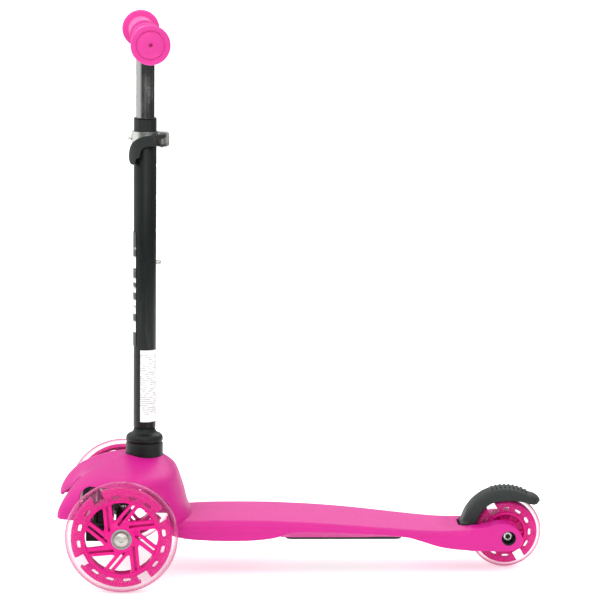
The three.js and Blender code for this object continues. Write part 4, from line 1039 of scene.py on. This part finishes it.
BRAKE_SIDE = [  # from the pivot over the crest to the tail and back inside
    (362, 36), (367.4, 43), (369.8, 46), (371, 50.5), (373.6, 56.2), (377.2, 65.6),
    (383.1, 74.2), (392.6, 82.9), (406, 89.2), (420, 91), (431, 90), (441, 87), (449.6, 83.4),
    (455.6, 80.6), (459, 77.2), (458, 73.8), (450.6, 72), (441, 74.6), (431, 76.2),
    (421, 76.4), (406.4, 74.4), (398, 69.1), (391.2, 59.7), (387.4, 50.6), (376, 35),
]
BRAKE_HALF = 16
CREST = (420, 40.8, 49.8)  # x, z and radius of the circle that the crest follows
SECTION = [(-16, 16), (-8, 15.9), (-4.6, 15), (-2.4, 13), (-1, 9.8), (-0.2, 6), (0.3, 2.5)]
TAIL, TAIL_TILT = (449.8, 77.4, 13, 10, 5.4), 24  # x, z, length, half width, thickness
RIB_TURNS = [107 - 5.6 * i for i in range(9)]  # where the ribs stand round the crest
RIB = [(0, -9), (1, -7.4), (1.35, -5), (1.4, 0), (1.35, 5), (1, 7.4), (0, 9)]
WHEEL_CLEARANCE_R, WHEEL_CLEARANCE_HALF = 43.4, 13.2
BRAKE_LEG = ((350, 400), (-BRAKE_HALF, BRAKE_HALF), (20, 52))
BRAKE_EYE_R = 5.8
LEG_NOTCHES = (((373, 381), (-17, 17), (30, 47)), ((355, 373), (-5, 5), (30, 44.5)))


def brake_tail():
    x, z, length, half, thick = TAIL
    steps = 16
    tail = turned("x", [(0, -half), *[(length * math.sin(a), -half * math.cos(a)) for a in
                                      (math.pi * i / steps for i in range(1, steps))], (0, half)])
    tail.data.transform(Matrix.Translation((x, 0, z)) @ Matrix.Rotation(
        math.radians(TAIL_TILT), 4, "Y") @ Matrix.Diagonal((1, 1, thick / length, 1)))
    return tail


def build_fender():
    cx, cz, radius = CREST
    half = [(radius + drop, out) for drop, out in SECTION]
    crest = turned("y", [(0, -BRAKE_HALF), *[(r, -out) for r, out in half], *reversed(half),
                         (0, BRAKE_HALF)], (cx, 0, cz), 192)
    body = common(pushed("y", spline(BRAKE_SIDE, True, 5), -BRAKE_HALF, BRAKE_HALF),
                  join(crest, block(*BRAKE_LEG)))
    body = join(body, brake_tail(), rod("y", BRAKE_EYE_R, -BRAKE_HALF, BRAKE_HALF, BRAKE_PIVOT))
    body = cut(
        body,
        rod("y", WHEEL_CLEARANCE_R, -WHEEL_CLEARANCE_HALF, WHEEL_CLEARANCE_HALF, REAR_AXLE, 160),
        *[block(*notch) for notch in LEG_NOTCHES],
    )
    body = soften(body, 0.65, 8)
    ribs = []
    for turn in RIB_TURNS:
        x, z = polar(radius - 0.25, turn)
        ribs.append(turned("y", RIB, (cx + x, 0, cz + z), 24))
    return cut(join(body, *ribs), rod("y", BRAKE_PIN_HOLE_R, -20, 20, BRAKE_PIVOT))


finish_piece("foot_brake", build_fender(), "black", "brake", ["brake_fender"], sharp=55)

# ---- steering column

TUBE = [(10.9, 156.9), (12.1, 156.9), (12.3, 157.2), (12.3, 492.7), (12.1, 493), (10.9, 493)]
TUBE_HOLES, HOLE_PITCH, TUBE_SLIT_BOTTOM = 4, 35, 452.5
SLEEVE = [(10.35, 470), (10.75, 470), (10.75, 493.3), (12, 493.3), (12.3, 493.6), (12.3, 494.2),
          (11.9, 494.5), (10.35, 494.5)]
COLLAR = [(14.7, 97), (17.4, 97), (17.4, 120), (19.8, 120), (20.2, 120.4), (20.2, 138.7),
          (19.7, 139.4), (19.3, 139.7), (19.3, 140.6), (14.7, 140.6)]
FOOT = [(18.8, 141), (19.8, 141.9), (20.2, 143.6), (20, 145.6), (19.2, 147.6), (17.4, 149.2),
        (14.6, 150.5), (12.9, 152), (12, 154), (11.6, 156)]
FOOT_SHANK_R, FOOT_PLUG_R = 14.2, 10.6
FILM_R = (12.6, 12.9)
DECAL_Z, LABEL_Z = (247, 371), (164, 243)
BUTTON = [(0, 10.4), (2.4, 10.4), (2.4, 16.2), (2.15, 17), (1.5, 17.6), (0.7, 17.8), (0, 17.8)]


def build_tube():
    tube = turned("z", TUBE, facets=128)
    holes = [rod("x", 2.8, 5, 16, (0, 0, LOCK_Z + HOLE_PITCH * i)) for i in range(TUBE_HOLES)]
    return moved(cut(tube, *holes, block((5, 16), (-1, 1), (TUBE_SLIT_BOTTOM, 494))), COLUMN)


def build_foot():
    shank = [(0, 98), (FOOT_SHANK_R, 98), (FOOT_SHANK_R, 141)]
    plug = [(FOOT_PLUG_R, 156.4), (FOOT_PLUG_R, 178), (0, 178)]
    return turned("z", [*shank, *spline(FOOT, False, 4), *plug], COLUMN, 128)


def film(heights, keep):
    return moved(common(ring("z", *FILM_R, *heights, facets=128), keep), COLUMN)


finish_piece("lower_tube", build_tube(), "paint", "frame", ["outer_tube"], bevel=0.25)
finish_piece("guide_sleeve", turned("z", SLEEVE, COLUMN, 128), "sleeve", "frame", ["tube_bush"])
finish_piece("collar", turned("z", COLLAR, COLUMN, 128), "sleeve", "frame", ["socket_collar"])
finish_piece("flared_cap", build_foot(), "sleeve", "frame", ["column_foot"])
finish_piece("decal_panel", film(DECAL_Z, block((-20, -9.8), (-20, 20), (200, 400))), "decal",
             "frame", ["front_decal"])
finish_piece("label_panel", film(LABEL_Z, block((-4.8, 20), (-20, 6), (100, 300))), "label",
             "frame", ["rear_label"])
finish_piece("snap_button", moved(turned("x", BUTTON), (COLUMN_X, 0, LOCK_Z)), "zinc",
             "lock_button", ["lock_button"])

# ---- clamp and its lever

CLAMP_R, CLAMP_RING_Z = (12.6, 14.7), (466.5, 480)
CLAMP_BOLT_X, CLAMP_BOLT_Z = 18, 469.5  # from the column's axis
PIN_Y = -9.5
EAR_X, EAR_Y, EAR_Z, EAR_CORNER = (11, 26), (1.5, 4.2), (463.4, 479.4), 4
STUD_Z = 472.7
STUD = [(0, -19.1), (1.3, -19), (1.9, -18.4), (1.9, -17.3), (1.3, -16.9), (1.3, -16.5),
        (2.9, -16.4), (3.1, -16.1), (3.1, -14.6), (2.9, -14.3), (2.9, -13.7), (0, -13.7)]
GROOVES_Z, GROOVE_R, GROOVE_HALF = (469.2, 477.3), (14.2, 15.4), 0.7
PIN = [(0, 463.2), (1.6, 463.2), (1.9, 463.5), (1.9, 475.5), (1.6, 475.8), (0, 475.8)]
LEVER_SIDE = [
    (23, 478.5), (10, 477.4), (-2, 475.8), (-8.5, 472.8), (-13.2, 468.9), (-16, 463.8),
    (-17.4, 457.6), (-17.4, 450), (-15.9, 446), (-13, 444.8), (-11, 446.2),
    (-9.6, 451.4), (-6, 453.6), (-5.2, 458), (-3.2, 462.4), (1.4, 464.8), (10, 465.4),
    (17, 465.6), (23, 465.6), (25, 466.4), (25, 478),
]
LEVER_R, LEVER_STRAIGHT_X = (15.3, 19.4), (12, 18)  # inside and outside of its hook
LEVER_CAM, LEVER_CAM_R = ((18, PIN_Y), (17, PIN_Y - 5.4)), 4.8
LEVER_SLOT_X, LEVER_SLOT_Z = 9.5, (467.4, 474.4)


def build_clamp():
    grooves = [ring("z", *GROOVE_R, z - GROOVE_HALF, z + GROOVE_HALF) for z in GROOVES_Z]
    body = join(
        ring("z", *CLAMP_R, *CLAMP_RING_Z, facets=128),
        *[pushed("y", rounded(corners(EAR_X, EAR_Z), EAR_CORNER, 8), *span(side, *EAR_Y))
          for side in BOTH],
        turned("x", STUD, (0, 0, STUD_Z), 48),
    )
    body = cut(
        body,
        block((0, 27), (-EAR_Y[0], EAR_Y[0]), (459, 481)),
        rod("z", CLAMP_R[0], 459, 481, facets=128),
        rod("y", 2.8, -8, 8, (CLAMP_BOLT_X, 0, CLAMP_BOLT_Z)),
        *grooves,
    )
    return moved(body, COLUMN)


def build_clamp_bolt():
    eye = (CLAMP_BOLT_X, PIN_Y, CLAMP_BOLT_Z)
    shank = rod("y", 2.4, PIN_Y, 9.6, (CLAMP_BOLT_X, 0, CLAMP_BOLT_Z))
    bolt = cut(join(rod("z", 3.9, -3.4, 3.4, eye), shank), rod("z", 2.3, -5, 5, eye))
    return moved(bolt, COLUMN)


def build_lever():
    (inner, outer), (inner_x, outer_x) = LEVER_R, LEVER_STRAIGHT_X
    plan = [(outer_x, -outer), *arc(0, 0, outer, 270, 180, 40), *arc(0, 0, inner, 180, 270, 40),
            (inner_x, -inner)]
    body = join(*[pushed("z", outline, 440, 480) for outline in
                  (plan, link(*LEVER_CAM, LEVER_CAM_R))])
    body = common(body, pushed("y", spline(LEVER_SIDE, True, 4), -30, 10))
    body = cut(body, block((LEVER_SLOT_X, 40), (-40, 0), LEVER_SLOT_Z))
    body = soften(body, 0.42, 5)
    return moved(cut(body, rod("z", 2.3, 400, 500, (CLAMP_BOLT_X, PIN_Y, 0), 48)), COLUMN)


finish_piece("clamp_band", build_clamp(), "clamp", "frame", ["clamp_ring"], bevel=0.35)
finish_piece("clamp_bolt", build_clamp_bolt(), "clamp", "frame", ["draw_bolt"], bevel=0.3)
finish_piece("clamp_nut", hex_piece("y", 4.2, 4.5, 8.6, 2.6, (
    COLUMN_X + CLAMP_BOLT_X, 0, CLAMP_BOLT_Z)), "clamp", "frame", ["barrel_nut"], bevel=0.15)
finish_piece("clamp_pin", turned("z", PIN, (COLUMN_X + CLAMP_BOLT_X, PIN_Y, 0), 48), "zinc",
             "frame", ["lever_pin"])
finish_piece("clamp_lever", build_lever(), "black", "lever", ["quick_lever"], sharp=55)

# ---- T-bar and grips

STEM_R, STEM_BORE_R, STEM_BOTTOM = 10.1, 8.8, 318
CROSS_R, CROSS_BORE_R, CROSS_HALF = 11, 9.7, 118
GRIP_FLANGE = [(0, 22), (15.6, 22), (16.1, 22.5), (16.1, 24.6), (15.6, 25.1), (14.1, 26),
               (13.7, 27)]
GRIP_R, GRIP_GROOVE_R = 13.7, 13.25
GRIP_GROOVES, GRIP_START, GRIP_PITCH = 30, 28, 2.95
GRIP_DISC = [(13.7, 117), (14.4, 118.3), (18.6, 118.7), (20.2, 119.3), (20.7, 120.4),
             (20.7, 122), (20.2, 123), (18.8, 123.6), (15.6, 123.9), (15.2, 123.4),
             (14.8, 122.8), (14.4, 122.8)]
GRIP_DOME = [(14, 123), (13.1, 124.4), (10.4, 125.4), (6.6, 126.05), (3.4, 126.2), (2.4, 125.6),
             (1.9, 122)]
GRIP_BORE_R, GRIP_BORE_Y = 11.35, (21, 119.4)


def on_bar(obj):
    """Turns a piece of the bar with it, about the column's axis."""
    obj.data.transform(Matrix.Translation(COLUMN) @ Matrix.Rotation(BAR_TWIST, 4, "Z"))
    return obj


def build_bar():
    bar = join(rod("z", STEM_R, STEM_BOTTOM, BAR_Z, facets=128),
               rod("y", CROSS_R, -CROSS_HALF, CROSS_HALF, BAR_CENTRE, 128))
    return on_bar(cut(bar, rod("z", STEM_BORE_R, STEM_BOTTOM - 1, BAR_Z, facets=96),
                      rod("y", CROSS_BORE_R, -CROSS_HALF - 1, CROSS_HALF + 1, BAR_CENTRE, 96),
                      rod("x", 3.2, 5, 16, (0, 0, LOCK_Z))))


def grip_profile():
    """From the inner flange, along the ribbed barrel, to the disc and its domed cap."""
    barrel = []
    for i in range(GRIP_GROOVES):
        start = GRIP_START + GRIP_PITCH * i
        barrel += [(GRIP_R, start), (GRIP_R, start + 1.9), (GRIP_GROOVE_R, start + 2.2),
                   (GRIP_GROOVE_R, start + 2.7)]
    return [*GRIP_FLANGE, *barrel, *GRIP_DISC, *spline(GRIP_DOME, False, 4), (0, 121.6)]


def build_grip(sign):
    grip = turned("y", [(r, sign * y) for r, y in grip_profile()], BAR_CENTRE, 128)
    return on_bar(cut(grip, rod("y", GRIP_BORE_R, *span(sign, *GRIP_BORE_Y), BAR_CENTRE, 96)))


finish_piece("upper_bar", build_bar(), "chrome", "t_bar", ["t_bar"], bevel=0.5)
for side_name, sign in SIDES:
    finish_piece(f"handle_{side_name}", build_grip(sign), "grip", "t_bar", [f"grip_{side_name}"],
                 sharp=50)

# ---- carried-over CAD pieces

CARRIED = {
    "zinc": ["steer_pin", "carrier_screw_left", "carrier_screw_right", "kingpin_left",
             "kingpin_right", "tie_pin_left", "tie_pin_right", "brake_pin",
             *[f"underplate_screw_{i}" for i in (1, 2, 3, 4)]],
    "spring": ["centring_spring", "brake_spring", "spring_clip"],
    "white": ["lean_bush_front", "lean_bush_rear"],
}
for look, nodes in CARRIED.items():
    for node in nodes:
        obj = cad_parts[node]
        obj.material_slots[0].material = material[look]
        round_edges(obj, 0.15, 40)

# ---- room, light and camera

FLOOR_CORNERS = [(-1.1, -1.0, 0), (1.1, -1.0, 0), (7.5, 45, 0), (-3.5, 45, 0)]
FLOOR_DROP = 0.0003  # keeps the wheels' lowest points out of it
HORIZON = (-0.06, 0.14)
HORIZON_LIGHT, DOME_LOW, DOME_TOP = 0.06, 0.5, 1.85
PANEL, PANEL_TOWARDS, PANEL_EDGE = 1.1, (-0.97, 0.24, 0), (0.52, 0.86)
LAMPS = [  # name, place, target, size, power
    ("key", (-1.3, -1.5, 1.9), (0, 0, 0.2), (0.9, 1.4), 10),
    ("fill", (1.8, -1.9, 1.5), (0, 0, 0.25), (0.9, 1.2), 6),
    ("front", (0.1, -2.6, 1.2), (0, 0, 0.15), (1.6, 1), 15),
    ("rim", (0.6, 1.9, 1.7), (0, 0, 0.3), (1.6, 0.7), 8),
]
CAMERA_PLACE = (25.66, -3172.6, 814.48)
CAMERA_YAW, CAMERA_PITCH, CAMERA_ROLL = 0.05244, 0.16154, 0.01105
FOCAL_PIXELS, FRAME_PIXELS, SENSOR = 2966.8, 600, 36


def lay_floor():
    mesh = bpy.data.meshes.new("floor")
    mesh.from_pydata(FLOOR_CORNERS, [], [(0, 1, 2, 3)])
    floor = bpy.data.objects.new("floor", mesh)
    bpy.context.scene.collection.objects.link(floor)
    nodes = Nodes("floor")
    nodes.set(Base_Color=(0.92, 0.92, 0.92, 1), Roughness=0.9, Specular_IOR_Level=0.1,
              Emission_Color=(1, 1, 1, 1), Emission_Strength=0.4)
    mesh.materials.append(nodes.material)
    floor.location.z = -FLOOR_DROP


def studio():
    """A bright dome over a dark horizon, with one tall soft panel on the left."""
    world = bpy.data.worlds.new("studio")
    bpy.context.scene.world = world
    sky = Tree(world)
    direction = sky.add("ShaderNodeTexCoord").outputs["Generated"]
    height = sky.split(direction)["Z"]
    aside = sky.add("ShaderNodeVectorMath", operation="DOT_PRODUCT")
    sky.link(direction, aside.inputs[0])
    aside.inputs[1].default_value = PANEL_TOWARDS
    horizon = sky.spread(height, *HORIZON, HORIZON_LIGHT, DOME_LOW)
    dome = sky.spread(height, HORIZON[1], 1.0, 0, DOME_TOP - DOME_LOW)
    panel = sky.spread(aside.outputs["Value"], *PANEL_EDGE, 0, PANEL)
    background = sky.tree.nodes["Background"]
    sky.link(sky.maths("ADD", sky.maths("ADD", horizon, dome), panel),
             background.inputs["Strength"])
    background.inputs["Color"].default_value = (1, 1, 1, 1)


def area_light(name, place, target, size, power):
    data = bpy.data.lights.new(name, "AREA")
    data.shape = "RECTANGLE"
    data.size, data.size_y = size
    data.energy = power
    light = bpy.data.objects.new(name, data)
    bpy.context.scene.collection.objects.link(light)
    light.location = place
    light.rotation_euler = (Vector(target) - Vector(place)).to_track_quat("-Z", "Y").to_euler()


def place_camera():
    forward = Vector((math.sin(CAMERA_YAW) * math.cos(CAMERA_PITCH),
                      math.cos(CAMERA_YAW) * math.cos(CAMERA_PITCH), -math.sin(CAMERA_PITCH)))
    right = Vector((math.cos(CAMERA_YAW), -math.sin(CAMERA_YAW), 0))
    up = right.cross(forward)
    rolled_right = right * math.cos(CAMERA_ROLL) + up * math.sin(CAMERA_ROLL)
    rolled_up = up * math.cos(CAMERA_ROLL) - right * math.sin(CAMERA_ROLL)
    turn = Matrix((rolled_right, rolled_up, -forward)).transposed().to_4x4()
    data = bpy.data.cameras.new("camera")
    data.sensor_width = SENSOR
    data.lens = FOCAL_PIXELS / FRAME_PIXELS * SENSOR
    data.clip_end = 100
    camera = bpy.data.objects.new("camera", data)
    bpy.context.scene.collection.objects.link(camera)
    camera.matrix_world = Matrix.Translation(TO_METRES @ Vector(CAMERA_PLACE)) @ turn
    bpy.context.scene.camera = camera


lay_floor()
studio()
for lamp in LAMPS:
    area_light(*lamp)
place_camera()
bpy.context.scene.view_settings.view_transform = "Standard"
